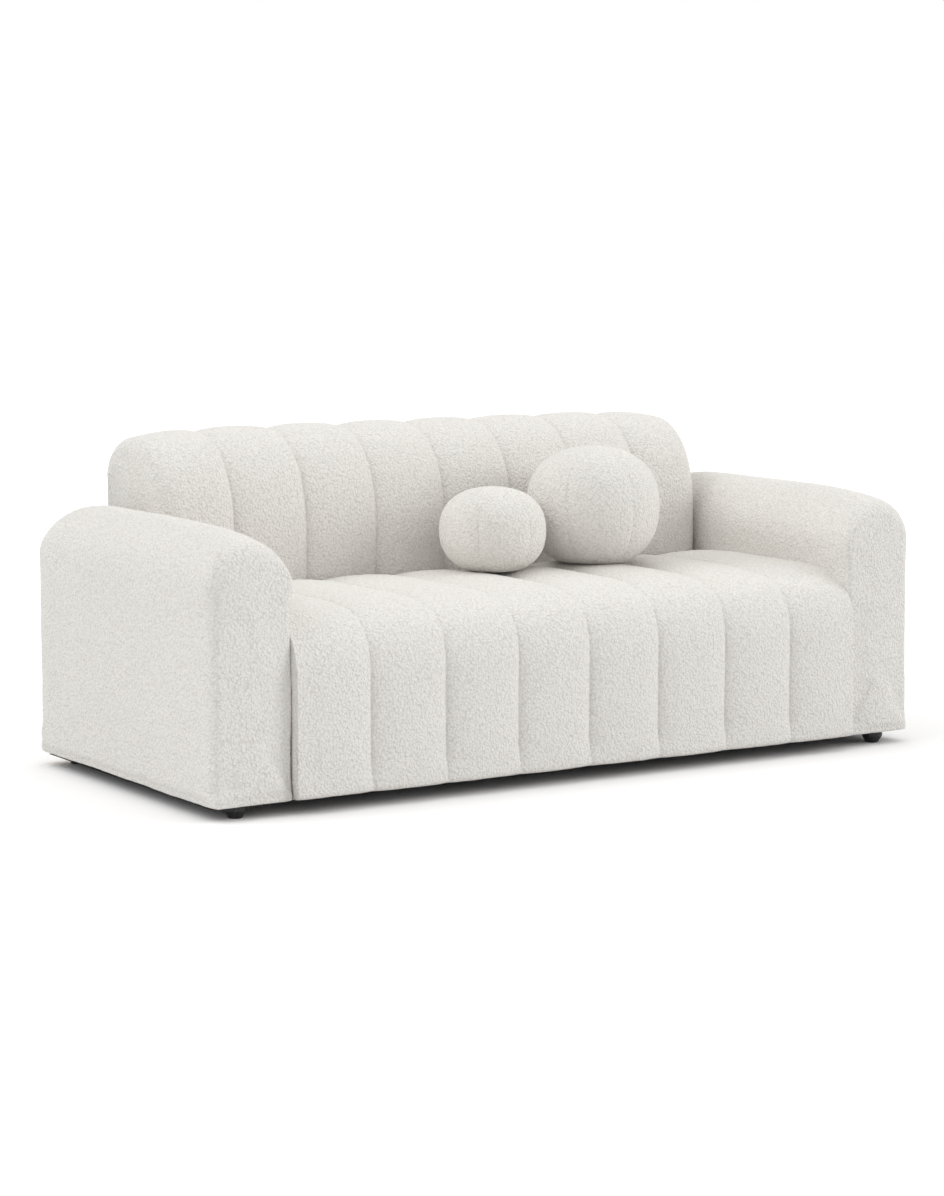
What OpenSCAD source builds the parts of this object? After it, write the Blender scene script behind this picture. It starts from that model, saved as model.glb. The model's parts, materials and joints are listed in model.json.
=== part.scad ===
// Channelled lounge sofa with plain arched arms and two loose ball pillows.
// The origin is on the floor under the middle of the sofa. The front faces -Y, and +Z is up.
// Left and right are as seen from the front, so the left arm is on the -X side.

/* [Overall] */
// Overall width over both arms
sofa_w = 2000; // [1800:10:2400]
// Overall depth, from the seat's front crowns to the rear cover
sofa_d = 940; // [900:5:1040]
// Overall height at the crown of the back
sofa_h = 812; // [780:2:880]
// Gap between the floor and the fabric
foot_h = 28; // [20:1:50]

/* [Arms] */
// Width of one arm
arm_w = 200; // [170:5:240]
// Height of an arm's crown
arm_h = 652; // [620:2:700]
// Height at which an arm's straight sides turn into its arch
arm_side_h = 520; // [490:5:545]
// Distance of the arms' front faces behind the seat's crowns
arm_setback = 22; // [10:1:40]
// Radius of an arm's upright edges
arm_edge_r = 36; // [24:1:44]
// Run of the rounding at the front end of an arm's top
arm_front_run = 305; // [180:5:340]
// Drop of the rounding at the front end of an arm's top
arm_front_drop = 50; // [30:1:80]
// Run of the rounding at the rear end of an arm's top
arm_rear_run = 175; // [100:5:240]
// Drop of the rounding at the rear end of an arm's top
arm_rear_drop = 73; // [30:1:90]

/* [Seat] */
// Number of channels across the seat and across the back
channels = 8; // [6:1:10]
// Height of the seat's channel crowns
seat_h = 463; // [445:1:485]
// Depth of the channel seams below the crowns
channel_dip = 18; // [8:0.5:20]
// Run of the seat's rounded front edge, front to rear
nose_run = 300; // [240:5:330]
// Rise of the seat's rounded front edge
nose_rise = 220; // [160:5:240]
// Fall of the seat from its middle to the back
seat_fall = 20; // [0:1:26]
// Height of the seat's hem above the arms' hem
seat_hem_rise = 8; // [2:1:20]

/* [Back] */
// Thickness of the back at the seat, from its crowns to the rear cover
back_t = 298; // [270:2:320]
// Run from the front of the back to its highest line
back_run = 203; // [180:1:220]
// Rise of the curve from the back's upright front to its highest line
back_rise = 262; // [220:2:290]
// Drop of the rounding behind the highest line
back_rear_drop = 70; // [60:1:100]
// Radius of the rounded top corners at the back's ends
back_corner_r = 30; // [20:1:60]
// Radius of the back's upright edges at its ends
back_edge_r = 62; // [30:1:80]
// Run of the gentle fall of the back's top towards its ends
back_end_run = 250; // [150:5:320]
// Drop of the gentle fall of the back's top towards its ends
back_end_drop = 20; // [0:1:30]

/* [Ball pillows] */
// Diameter of the small ball pillow
small_ball_d = 268; // [220:2:290]
// Height of the small ball pillow as it rests
small_ball_h = 207; // [180:1:240]
// Diameter of the large ball pillow
large_ball_d = 344; // [310:2:380]
// Height of the large ball pillow as it rests
large_ball_h = 291; // [260:1:320]
// Distance of the large ball's centre to the right of the sofa's middle
large_ball_x = 317; // [250:1:400]
// Gap between the large ball and the back
large_ball_gap = 7; // [2:0.5:30]
// Gap between the two balls
ball_gap = 8; // [2:0.5:40]
// Distance of the small ball's centre in front of the large ball's
small_ball_forward = 20; // [0:1:80]
// Depth of the seams between a ball's gores
ball_seam_dip = 4; // [1:0.5:8]
// Number of gores in a ball's cover
ball_gores = 6; // [4:1:8]

/* [Padding and covers] */
// Thickness of the cover fabric
cover_t = 3; // [2:0.25:4]
// Thickness of the channelled quilts, from the crowns to their backing
quilt_t = 28; // [26:0.5:34]
// Foam on the two sides of an arm's frame
arm_pad_t = 20; // [12:1:28]
// Foam in front of an arm's frame
arm_front_pad_t = 30; // [20:1:45]
// Foam behind an arm's frame
arm_rear_pad_t = 12; // [6:1:20]
// Foam in front of the base's front rail
seat_front_pad_t = 24; // [18:1:40]
// Foam at the two ends of the back's frame
back_end_pad_t = 20; // [12:1:30]
// Felt insulator over the springs
felt_t = 5; // [3:0.5:8]
// Wadding under the rear cover
wadding_t = 8; // [4:0.5:12]
// Thickness of the dust covers
dust_t = 1; // [0.6:0.1:1.5]

/* [Frame] */
// Thickness of the frame's boards
board_t = 25; // [18:1:30]
// Width and depth of the back frame's posts
stud_t = 45; // [35:1:50]
// Thickness of the plywood panels
panel_t = 6; // [4:0.5:9]
// Drop of the base rails' top edges below the seat's crowns
deck_drop = 163; // [150:1:190]
// Drop of the back frame's top below the crown of the back
back_frame_drop = 152; // [148:1:210]
// Drop of the cross rails' top edges below the other base rails'
cross_rail_drop = 40; // [30:1:60]
// Leg of the corner blocks
block_leg = 60; // [40:1:80]
// Drop of the arm frames' top below the arch
arm_frame_drop = 10; // [2:1:30]
// Width of a webbing strap
strap_w = 50; // [40:1:60]
// Thickness of a webbing strap
strap_t = 2; // [1:0.25:2.5]
// Number of webbing straps across the back
strap_count = 4; // [3:1:5]

/* [Springs] */
// Number of sinuous springs under the seat
spring_count = 9; // [6:1:10]
// Number of bends in a spring
spring_bends = 16; // [10:2:18]
// Width of a spring over its bends
spring_w = 70; // [60:1:80]
// Thickness of the spring wire
wire_t = 4; // [3:0.25:5]
// Sheet thickness of the spring clips
clip_t = 1.5; // [1:0.1:2]
// Width of a spring clip
clip_w = 22; // [16:1:28]
// Length of a spring clip
clip_l = 16; // [12:1:20]

/* [Feet] */
// Diameter of a foot at its top
foot_top_d = 52; // [40:1:60]
// Diameter of a foot where it meets the floor
foot_tip_d = 36; // [26:1:39]
// Radius of the rounding at a foot's lower edge
foot_edge_r = 4; // [2:0.5:6]
// Distance of a foot's centre from the sofa's side
foot_side_in = 84; // [75:1:100]
// Distance of a foot's centre from the front or rear face of its arm
foot_end_in = 54; // [48:1:80]
// Diameter of the studs that hold the feet
stud_d = 8; // [6:1:10]
// Depth of a stud in its foot
stud_in_foot = 15; // [10:1:18]
// Depth of a stud in the arm's bottom rail
stud_in_rail = 20; // [12:1:22]

/* [Fasteners] */
// Diameter of the bolts that join the arms to the base
bolt_d = 8; // [6:1:10]
// Height of the arm bolts above the floor
bolt_h = 150; // [110:5:200]
// Diameter of a bolt's head
bolt_head_d = 15; // [13:0.5:18]
// Thickness of a bolt's head
bolt_head_t = 5.5; // [4:0.5:7]
// Diameter of a washer
washer_d = 24; // [20:1:30]
// Thickness of a washer
washer_t = 2; // [1:0.25:3]
// Width over the corners of a nut
nut_d = 15; // [14:0.5:18]
// Thickness of a nut
nut_t = 6.5; // [5:0.5:8]
// Width of the steel plates that join the back's posts to the base
plate_w = 36; // [24:1:42]
// Height of the steel plates
plate_l = 120; // [90:2:150]
// Thickness of the steel plates
plate_t = 3; // [2.5:0.25:4]
// Diameter of the screws in the steel plates
screw_d = 4.5; // [3.5:0.25:5]
// Length of the screws in the steel plates
screw_l = 28; // [20:1:34]
// Diameter of a screw's head
screw_head_d = 8; // [7:0.5:9]
// Thickness of a screw's head
screw_head_t = 1.5; // [1:0.1:2]

/* [Hidden] */

// Clearances, and the overrun of the cuts
fit = 0.3;
side_gap = 0.5;
hole_gap = 0.1;
cut_over = 1;
hem_t = 2;

// Faces and planes that the pieces share
side_x = sofa_w / 2 - arm_w;
front_y = -sofa_d / 2;
rear_y = sofa_d / 2;
arm_front_y = front_y + arm_setback;
arm_mid_x = side_x + arm_w / 2;
arm_mid_y = (arm_front_y + rear_y) / 2;
arm_half_l = (rear_y - arm_front_y) / 2;
frame_z = foot_h + hem_t;
inner_half = side_x - side_gap;

// Seat section: hem, rounded nose, flat top and fall
hem_z = foot_h + seat_hem_rise;
nose_y = front_y + nose_run;
nose_z = seat_h - nose_rise;
back_front_y = rear_y - back_t;
seat_rear_y = back_front_y - fit;
fall_share = 0.25;
fall_y = nose_y + fall_share * (seat_rear_y - nose_y);
fall_power = 3;
fall_shares = [0, 0.5, 0.8, 1];
fall_table = [for (s = fall_shares) [fall_y + s * (seat_rear_y - fall_y), seat_fall * pow(s, fall_power)]];
nose_power = 3;
nose_steps = 6;

// Back section: upright front, long curve to the top, short curve to the rear
back_mid_y = back_front_y + back_run;
back_mid_z = sofa_h - back_rise;
back_steps = 6;
back_rear_steps = 2;
top_dip_share = 0.7;
back_power = 2.2;

// Columns of points across one channel, as shares of its width
column_shares = [0, 0.06, 0.2, 0.5, 0.8, 0.94];

// Layers over the springs
rail_top_h = seat_h - deck_drop;
clip_h = wire_t + 2 * clip_t + 2 * fit;
felt_z = rail_top_h + clip_h + fit;
deck_z = felt_z + felt_t + fit;

// Base frame
base_front_y = front_y + quilt_t + fit + seat_front_pad_t;
back_frame_rear_y = rear_y - cover_t - wadding_t - panel_t;
back_frame_front_y = back_frame_rear_y - stud_t;
base_inner_half = inner_half - board_t;
base_inner_front_y = base_front_y + board_t;
cross_top_z = rail_top_h - cross_rail_drop;
cross_share = 0.4;
seat_rail_y = back_front_y + quilt_t;
block_drop = cross_rail_drop + board_t;

// Back frame
back_frame_h = sofa_h - back_frame_drop;
back_frame_half = inner_half - cover_t - back_end_pad_t;
back_post_top_z = back_frame_h - board_t;
centre_post_share = 1 / 3;
back_cavity_y = back_frame_front_y - plate_t - fit;

// Arm frames
arm_frame_half = arm_w / 2 - cover_t - arm_pad_t;
arm_board_half = arm_frame_half - panel_t;
arm_frame_front_y = arm_front_y + cover_t + arm_front_pad_t;
arm_frame_rear_y = rear_y - cover_t - arm_rear_pad_t;
arm_frame_top_z = arm_side_h - arm_frame_drop;
arch_angles = [0, 22, 42, 58, 71, 81];
arch_edge_share = 0.9;
end_edge_share = 0.5;
end_power = 1.63;
corner_steps = 4;

// Places of the springs, the arm bolts and the feet
spring_front_y = base_front_y + board_t / 2;
spring_rear_y = seat_rail_y + board_t / 2;
spring_pitch = (spring_rear_y - spring_front_y) / spring_bends;
spring_spread = 2 * base_inner_half / spring_count;
wire_z = rail_top_h + clip_t + fit;
bend_steps = 3;
bolt_shares = [0.15, 0.4, 0.85];
washer_x = base_inner_half - washer_t;
nut_x = arm_mid_x - arm_board_half;
foot_x = sofa_w / 2 - foot_side_in;
foot_front_y = arm_front_y + foot_end_in;
foot_rear_y = rear_y - foot_end_in;
foot_steps = 4;
foot_waist_share = 0.6;
plate_end_share = 0.35;
plate_side_share = 0.25;

// Sides of the round pieces
bar_sides = 24;
foot_sides = 64;

// Ball pillows
ball_power = 2.3;
ball_angles = [-62, -46, -30, -14, 2, 18, 34, 50, 66, 79, 89];
core_angles = [-62, -40, -18, 4, 26, 48, 70, 88];
gore_shares = [0, 0.08, 0.3, 0.7, 0.92];
core_sides = 18;
foot_angle_step = 5;
small_ball_turn = 42;
large_ball_turn = 33;
large_ball_y = back_front_y - large_ball_gap - large_ball_d / 2;
small_ball_y = large_ball_y - small_ball_forward;
ball_distance = (small_ball_d + large_ball_d) / 2 + ball_gap;
small_ball_x = large_ball_x - sqrt(ball_distance * ball_distance - small_ball_forward * small_ball_forward);

fabric_colour = [0.87, 0.86, 0.84];
foam_colour = [0.93, 0.89, 0.72];
wood_colour = [0.78, 0.62, 0.42];
ply_colour = [0.72, 0.56, 0.38];
steel_colour = [0.62, 0.63, 0.65];
felt_colour = [0.42, 0.42, 0.43];
dust_colour = [0.1, 0.1, 0.11];
plastic_colour = [0.05, 0.05, 0.05];
strap_colour = [0.25, 0.22, 0.2];

// Drop of a quarter round of radius r at distance e from its end
function corner_drop(r, e) = e >= r ? 0 : r - sqrt(r * r - (r - e) * (r - e));

// Share of a seam's depth at share s across a channel or a gore
function dip_share(s) = 1 - sqrt(1 - (2 * s - 1) * (2 * s - 1));

// Places of the columns of points across the channels, and their shares of the seam's depth
function column_xs(half) = [
    for (c = [0:channels - 1]) for (s = column_shares) -half + (c + s) * 2 * half / channels,
    half
];
function column_dips() = [
    for (c = [0:channels - 1]) for (s = column_shares) channel_dip * dip_share(s),
    channel_dip
];

// Section of the seat at a depth below its crowns, from the hem to the rear
function seat_section(x, depth) = concat(
    [[x, front_y + depth, hem_z]],
    [for (i = [0:nose_steps]) let (a = 90 * i / nose_steps)
        [x, nose_y - (nose_run - depth) * pow(cos(a), 2 / nose_power),
            nose_z + (nose_rise - depth) * pow(sin(a), 2 / nose_power)]],
    [for (p = fall_table) [x, p[0], seat_h - depth - p[1]]]
);

// Drop of the back's top near its ends
function back_top_drop(x) =
    let (e = max(0, inner_half - abs(x)))
    corner_drop(back_corner_r, e) + back_end_drop * pow(max(0, 1 - e / back_end_run), 2);

// Section of the back at a depth below its crowns, with a further dip that fades to the rear
function back_section(x, depth, dip) =
    let (e = max(0, inner_half - abs(x)))
    let (run = back_run - corner_drop(back_edge_r, e))
    let (rise = back_rise - back_top_drop(x))
    concat(
        [[x, back_mid_y - run + depth + dip, deck_z]],
        [for (i = [0:back_steps])
            let (a = 90 * i / back_steps)
            let (k = depth + dip * (1 - (1 - top_dip_share) * sin(a)))
            [x, back_mid_y - (run - k) * pow(cos(a), 2 / back_power),
                back_mid_z + (rise - k) * pow(sin(a), 2 / back_power)]],
        [for (i = [1:back_rear_steps])
            let (a = 90 * i / back_rear_steps)
            let (k = depth + dip * top_dip_share * cos(a))
            [x, back_mid_y + (rear_y - back_mid_y - depth) * sin(a),
                back_mid_z + rise - k - (back_rear_drop - depth) * (1 - cos(a))]]
    );
function back_hem_z(x) = sofa_h - back_top_drop(x) - back_rear_drop;

// Height of the seat's top at a place, with the dips of its seams
function seat_surface_z(x, y) =
    let (xs = column_xs(inner_half))
    let (dips = column_dips())
    seat_h - lookup(y, fall_table) - lookup(x, [for (i = [0:len(xs) - 1]) [xs[i], dips[i]]]);

// Rounded rectangle about a point, anticlockwise
function round_rect(x, y, z, a, b, r) = [
    for (q = [0:3]) for (s = [0:corner_steps])
        let (t = 90 * (q + s / corner_steps))
        let (sx = q == 0 || q == 3 ? 1 : -1)
        let (sy = q < 2 ? 1 : -1)
        [x + sx * (a - r) + r * cos(t), y + sy * (b - r) + r * sin(t), z]
];

// How far a rounding of an arm's end draws in at a height below the crown
function end_draw(run, drop, below) =
    let (up = max(0, 1 - below / drop))
    run * (1 - pow(max(0, 1 - pow(up, end_power)), 1 / end_power));

// Rings of an arm's outer form at a depth below its cover
function arm_rings(x, depth, low_z) =
    let (last = sin(arch_angles[len(arch_angles) - 1]))
    let (half = arm_w / 2 - depth)
    let (rise = arm_h - arm_side_h - depth)
    let (edge = arm_edge_r - depth)
    concat(
        [round_rect(x, arm_mid_y, low_z, half, arm_half_l - depth, edge)],
        [for (t = arch_angles)
            let (z = arm_side_h + rise * sin(t) / last)
            let (a = half * cos(t))
            let (draw = end_draw(arm_front_run, arm_front_drop, arm_h - depth - z))
            let (low = arm_front_y + depth + draw)
            let (high = rear_y - depth - end_draw(arm_rear_run, arm_rear_drop, arm_h - depth - z))
            let (r = min(arch_edge_share * a, edge + end_edge_share * draw))
            round_rect(x, (low + high) / 2, z, a, (high - low) / 2, r)]
    );

// Height share of a squashed ball at a polar angle, from its flat foot to its top
function ball_sine(t) = sign(t) * pow(abs(sin(t)), 2 / ball_power);
function ball_rise(t) = (ball_sine(t) - ball_sine(ball_angles[0])) / (1 - ball_sine(ball_angles[0]));
function ball_width(t) = pow(cos(t), 2 / ball_power);

// Height at which a ball's flat foot just rests on the seat, which is highest under the foot's
// edge or at the front of a column of points
function ball_base_z(x, y, d) =
    let (foot_r = d / 2 * ball_width(ball_angles[0]))
    fit + max(concat(
        [for (c = column_xs(inner_half)) if (abs(c - x) < foot_r)
            seat_surface_z(c, y - sqrt(foot_r * foot_r - (c - x) * (c - x)))],
        [for (a = [0:foot_angle_step:360 - foot_angle_step])
            seat_surface_z(x + foot_r * cos(a), y + foot_r * sin(a))]));

// Rings of a gored ball, and of a plain one that lies a depth inside it
function gored_rings(x, y, d, h, turn) =
    let (base_z = ball_base_z(x, y, d))
    [for (t = ball_angles) [
        for (g = [0:ball_gores - 1]) for (s = gore_shares)
            let (r = (d / 2 - ball_seam_dip * dip_share(s)) * ball_width(t))
            let (b = turn + 360 * (g + s) / ball_gores)
            [x + r * cos(b), y + r * sin(b), base_z + h * ball_rise(t)]
    ]];
function core_rings(x, y, d, h, depth) =
    let (base_z = ball_base_z(x, y, d))
    [for (t = core_angles) [
        for (s = [0:core_sides - 1])
            let (r = (d / 2 - ball_seam_dip - depth) * ball_width(t))
            let (b = 360 * s / core_sides)
            [x + r * cos(b), y + r * sin(b), base_z + depth + (h - 2 * depth) * ball_rise(t)]
    ]];

// Two triangles for each four-sided face of a strip
function quad(a, b, c, d) = [[a, b, c], [a, c, d]];

// Padded skin between two grids of points that have the same columns and rows
module quilt(outer, inner) {
    m = len(outer);
    n = len(outer[0]);
    function o(i, j) = i * n + j;
    function k(i, j) = m * n + i * n + j;
    sheets = [for (i = [0:m - 2]) for (j = [0:n - 2]) each concat(
        quad(o(i, j), o(i, j + 1), o(i + 1, j + 1), o(i + 1, j)),
        quad(k(i + 1, j), k(i + 1, j + 1), k(i, j + 1), k(i, j)))];
    hems = [for (i = [0:m - 2]) each concat(
        quad(o(i, 0), o(i + 1, 0), k(i + 1, 0), k(i, 0)),
        quad(o(i + 1, n - 1), o(i, n - 1), k(i, n - 1), k(i + 1, n - 1)))];
    ends = [for (j = [0:n - 2]) each concat(
        quad(o(0, j + 1), o(0, j), k(0, j), k(0, j + 1)),
        quad(o(m - 1, j), o(m - 1, j + 1), k(m - 1, j + 1), k(m - 1, j)))];
    points = concat([for (c = outer) each c], [for (c = inner) each c]);
    polyhedron(points, concat(sheets, hems, ends));
}

// Solid through closed rings, from the lowest to the highest, with fans at both ends
module loft(rings) {
    m = len(rings);
    n = len(rings[0]);
    function o(i, j) = i * n + j % n;
    sides = [for (i = [0:m - 2]) for (j = [0:n - 1])
        each quad(o(i, j), o(i + 1, j), o(i + 1, j + 1), o(i, j + 1))];
    low = [for (j = [1:n - 2]) [0, j, j + 1]];
    high = [for (j = [1:n - 2]) [o(m - 1, 0), o(m - 1, j + 1), o(m - 1, j)]];
    polyhedron([for (r = rings) each r], concat(sides, low, high));
}

// Shell between two lofts, open at the bottom
module loft_shell(outer, inner) {
    m = len(outer);
    n = len(outer[0]);
    function o(i, j) = i * n + j % n;
    function k(i, j) = m * n + i * n + j % n;
    sides = [for (i = [0:m - 2]) for (j = [0:n - 1]) each concat(
        quad(o(i, j), o(i + 1, j), o(i + 1, j + 1), o(i, j + 1)),
        quad(k(i, j), k(i, j + 1), k(i + 1, j + 1), k(i + 1, j)))];
    tops = [for (j = [1:n - 2]) each [
        [o(m - 1, 0), o(m - 1, j + 1), o(m - 1, j)],
        [k(m - 1, 0), k(m - 1, j), k(m - 1, j + 1)]]];
    rim = [for (j = [0:n - 1]) each quad(o(0, j), o(0, j + 1), k(0, j + 1), k(0, j))];
    polyhedron(concat([for (r = outer) each r], [for (r = inner) each r]), concat(sides, tops, rim));
}

// Box from one corner to the opposite one
module board(low, high) {
    translate(low) cube(high - low);
}

// Bar along X from one place to another
module bar_x(x, y, z, d, length) {
    translate([x, y, z]) rotate([0, 90, 0]) cylinder(h = length, d = d, $fn = bar_sides);
}

// Bar along Y, from its front end
module bar_y(x, y, z, d, length) {
    translate([x, y, z]) rotate([-90, 0, 0]) cylinder(h = length, d = d, $fn = bar_sides);
}

// Holes for the bolts that join one arm to the base
module arm_bolt_holes(side) {
    for (s = bolt_shares) {
        y = base_inner_front_y + s * (back_frame_front_y - base_inner_front_y);
        x = side > 0 ? base_inner_half - cut_over : -(arm_mid_x);
        bar_x(x, y, bolt_h, bolt_d + 2 * fit, arm_mid_x - base_inner_half + cut_over);
    }
}

// Places of the screws in the plates that join the back's posts to the base
module at_plate_screws() {
    for (x = back_post_xs()) {
        for (sx = [-1, 1]) {
            for (sz = [-1, 1]) {
                translate([x + sx * plate_w * plate_side_share, back_frame_front_y,
                    rail_top_h + sz * plate_l * plate_end_share]) children();
            }
        }
    }
}

// Middles of the back's posts across the sofa
function back_post_xs() = [for (s = [-1, -centre_post_share, centre_post_share, 1])
    s * (back_frame_half - stud_t / 2)];

// Seat

module seat_cover() {
    xs = column_xs(inner_half);
    dips = column_dips();
    outer = [for (i = [0:len(xs) - 1]) seat_section(xs[i], dips[i])];
    inner = [for (x = xs) seat_section(x, quilt_t)];
    color(fabric_colour) quilt(outer, inner);
}

module seat_foam() {
    rim = [for (p = seat_section(0, quilt_t + fit)) [p[1], p[2]]];
    rear = [[seat_rear_y, deck_z], [base_front_y - fit, deck_z], [base_front_y - fit, hem_z]];
    color(foam_colour) rotate([90, 0, 90]) translate([0, 0, -inner_half])
        linear_extrude(2 * inner_half) polygon(concat(rim, rear));
}

module seat_felt() {
    color(felt_colour)
        board([-inner_half, base_front_y, felt_z], [inner_half, seat_rear_y, felt_z + felt_t]);
}

// Outline of one spring's wire: left side of its path, then the right side back again
function spring_side(d) = [
    for (k = [0:spring_bends - 1])
        let (turn = k % 2 == 0 ? 1 : -1)
        for (i = [0:bend_steps])
            let (a = -90 + 180 * i / bend_steps)
            let (r = spring_pitch / 2 - turn * d)
            [turn * (spring_w / 2 - spring_pitch / 2 + r * cos(a)),
                spring_front_y + (k + 1 / 2) * spring_pitch + r * sin(a)]
];
function spring_outline() =
    let (d = wire_t / 2)
    let (start = -spring_w / 2)
    let (stop = spring_bends % 2 == 0 ? spring_w / 2 : -spring_w / 2)
    concat(
        [[start, spring_front_y + d]], spring_side(d), [[stop, spring_rear_y + d]],
        [[stop, spring_rear_y - d]],
        [for (i = [len(spring_side(d)) - 1:-1:0]) spring_side(-d)[i]],
        [[start, spring_front_y - d]]
    );

module at_springs() {
    for (k = [0:spring_count - 1]) {
        translate([(k - (spring_count - 1) / 2) * spring_spread, 0, 0]) children();
    }
}

module seat_springs() {
    color(steel_colour) at_springs()
        translate([0, 0, wire_z]) linear_extrude(wire_t) polygon(spring_outline());
}

// Clip with a slot for the wire, open towards the end of the sofa that side names
module spring_clip(y, side) {
    slot = wire_t + 2 * fit;
    translate([0, y, rail_top_h]) difference() {
        translate([-clip_w / 2, -clip_l / 2, 0]) cube([clip_w, clip_l, clip_h]);
        translate([-clip_w, side > 0 ? -slot / 2 : slot / 2 - clip_l, clip_t])
            cube([2 * clip_w, clip_l, slot]);
    }
}

module spring_clips() {
    color(steel_colour) at_springs() {
        spring_clip(spring_front_y, -1);
        spring_clip(spring_rear_y, 1);
    }
}

// Base frame

module base_front_rail() {
    color(wood_colour)
        board([-inner_half, base_front_y, frame_z], [inner_half, base_inner_front_y, rail_top_h]);
}

module base_rear_rail() {
    color(wood_colour) difference() {
        board([-inner_half, back_frame_front_y, frame_z], [inner_half, back_frame_rear_y, rail_top_h]);
        at_plate_screws() bar_y(0, -cut_over, 0, screw_d + 2 * hole_gap, screw_l + cut_over);
    }
}

module base_side_rail(side) {
    low = side > 0 ? base_inner_half : -inner_half;
    color(wood_colour) difference() {
        board([low, base_inner_front_y, frame_z], [low + board_t, back_frame_front_y, rail_top_h]);
        arm_bolt_holes(side);
    }
}

module base_left_rail() {
    base_side_rail(-1);
}

module base_right_rail() {
    base_side_rail(1);
}

module base_cross_rails() {
    color(wood_colour) for (side = [-1, 1]) {
        x = side * base_inner_half * cross_share;
        board([x - board_t / 2, base_inner_front_y, frame_z],
              [x + board_t / 2, back_frame_front_y, cross_top_z]);
    }
}

module base_corner_blocks() {
    color(ply_colour) for (sx = [-1, 1]) {
        for (rear = [0, 1]) {
            y = rear == 0 ? base_inner_front_y : back_frame_front_y;
            sy = rear == 0 ? 1 : -1;
            translate([0, 0, frame_z]) linear_extrude(rail_top_h - block_drop - frame_z) polygon([
                [sx * base_inner_half, y],
                [sx * (base_inner_half - block_leg), y],
                [sx * base_inner_half, y + sy * block_leg]
            ]);
        }
    }
}

module seat_rear_rail() {
    color(wood_colour)
        board([-base_inner_half, seat_rail_y, cross_top_z],
              [base_inner_half, seat_rail_y + board_t, rail_top_h]);
}

module base_dust_cover() {
    color(dust_colour)
        board([-inner_half, base_front_y, frame_z - dust_t], [inner_half, back_frame_rear_y, frame_z]);
}

// Back

module back_cover() {
    half = inner_half - cover_t - fit;
    xs = column_xs(half);
    dips = column_dips();
    outer = [for (i = [0:len(xs) - 1]) back_section(xs[i], 0, dips[i])];
    inner = [for (x = xs) back_section(x, quilt_t, 0)];
    color(fabric_colour) quilt(outer, inner);
}

module back_end_cover(side) {
    x = inner_half - cover_t - fit;
    rim = [for (p = back_section(x, 0, channel_dip)) [p[1], p[2]]];
    last = len(rim) - 1;
    rear = rear_y - cover_t - fit;
    outline = concat(
        [for (i = [0:last - 1]) rim[i]],
        [[rear, rim[last][1]], [rear, deck_z]]);
    color(fabric_colour) translate([side > 0 ? x + fit : -inner_half, 0, 0]) rotate([90, 0, 90])
        linear_extrude(cover_t) polygon(outline);
}

module back_left_end_cover() {
    back_end_cover(-1);
}

module back_right_end_cover() {
    back_end_cover(1);
}

module back_rear_cover() {
    half = inner_half - cover_t - fit;
    top = concat(
        [[-inner_half, back_hem_z(half) - fit]],
        [for (x = column_xs(half)) [x, back_hem_z(x) - fit]],
        [[inner_half, back_hem_z(half) - fit]]);
    color(fabric_colour) translate([0, rear_y, 0]) rotate([90, 0, 0])
        linear_extrude(cover_t) polygon(concat(top, [[inner_half, foot_h], [-inner_half, foot_h]]));
}

// Closed ring of the back foam at one place across the sofa
function foam_ring(x) =
    let (rim = back_section(x, quilt_t + fit, 0))
    let (hem = back_hem_z(x) - fit)
    concat(
        [for (i = [len(rim) - 2:-1:0]) rim[i]],
        [[x, rear_y - cover_t, deck_z], [x, rear_y - cover_t, hem], [x, rear_y - quilt_t - fit, hem]]);

module back_foam() {
    half = inner_half - cover_t - fit;
    width = 2 * half / channels;
    near = [for (s = column_shares) -half + s * width];
    far = [for (s = column_shares) half - (1 - s) * width, half];
    color(foam_colour) difference() {
        loft([for (x = concat(near, [width - half], far)) foam_ring(x)]);
        board([-back_frame_half - fit, back_cavity_y, deck_z - cut_over],
              [back_frame_half + fit, rear_y, back_frame_h + fit]);
    }
}

module back_wadding() {
    color(felt_colour)
        board([-back_frame_half, rear_y - cover_t - wadding_t, frame_z],
              [back_frame_half, rear_y - cover_t, back_frame_h]);
}

module back_panel() {
    color(ply_colour)
        board([-back_frame_half, back_frame_rear_y, frame_z],
              [back_frame_half, back_frame_rear_y + panel_t, back_frame_h]);
}

module back_top_rail() {
    color(wood_colour)
        board([-back_frame_half, back_frame_front_y, back_post_top_z],
              [back_frame_half, back_frame_rear_y, back_frame_h]);
}

// One post of the back, with pilot holes for the screws of its plate
module back_post(x) {
    color(wood_colour) difference() {
        board([x - stud_t / 2, back_frame_front_y, rail_top_h],
              [x + stud_t / 2, back_frame_rear_y, back_post_top_z]);
        at_plate_screws() bar_y(0, -cut_over, 0, screw_d + 2 * hole_gap, screw_l + cut_over);
    }
}

module back_left_post() {
    back_post(back_post_xs()[0]);
}

module back_right_post() {
    back_post(back_post_xs()[3]);
}

module back_centre_posts() {
    back_post(back_post_xs()[1]);
    back_post(back_post_xs()[2]);
}

module back_straps() {
    low = rail_top_h + plate_l / 2 + strap_w / 2;
    step = (back_frame_h - low - strap_w) / strap_count;
    color(strap_colour) for (k = [1:strap_count]) {
        z = low + k * step;
        board([-back_frame_half, back_frame_front_y - strap_t, z - strap_w / 2],
              [back_frame_half, back_frame_front_y, z + strap_w / 2]);
    }
}

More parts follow.
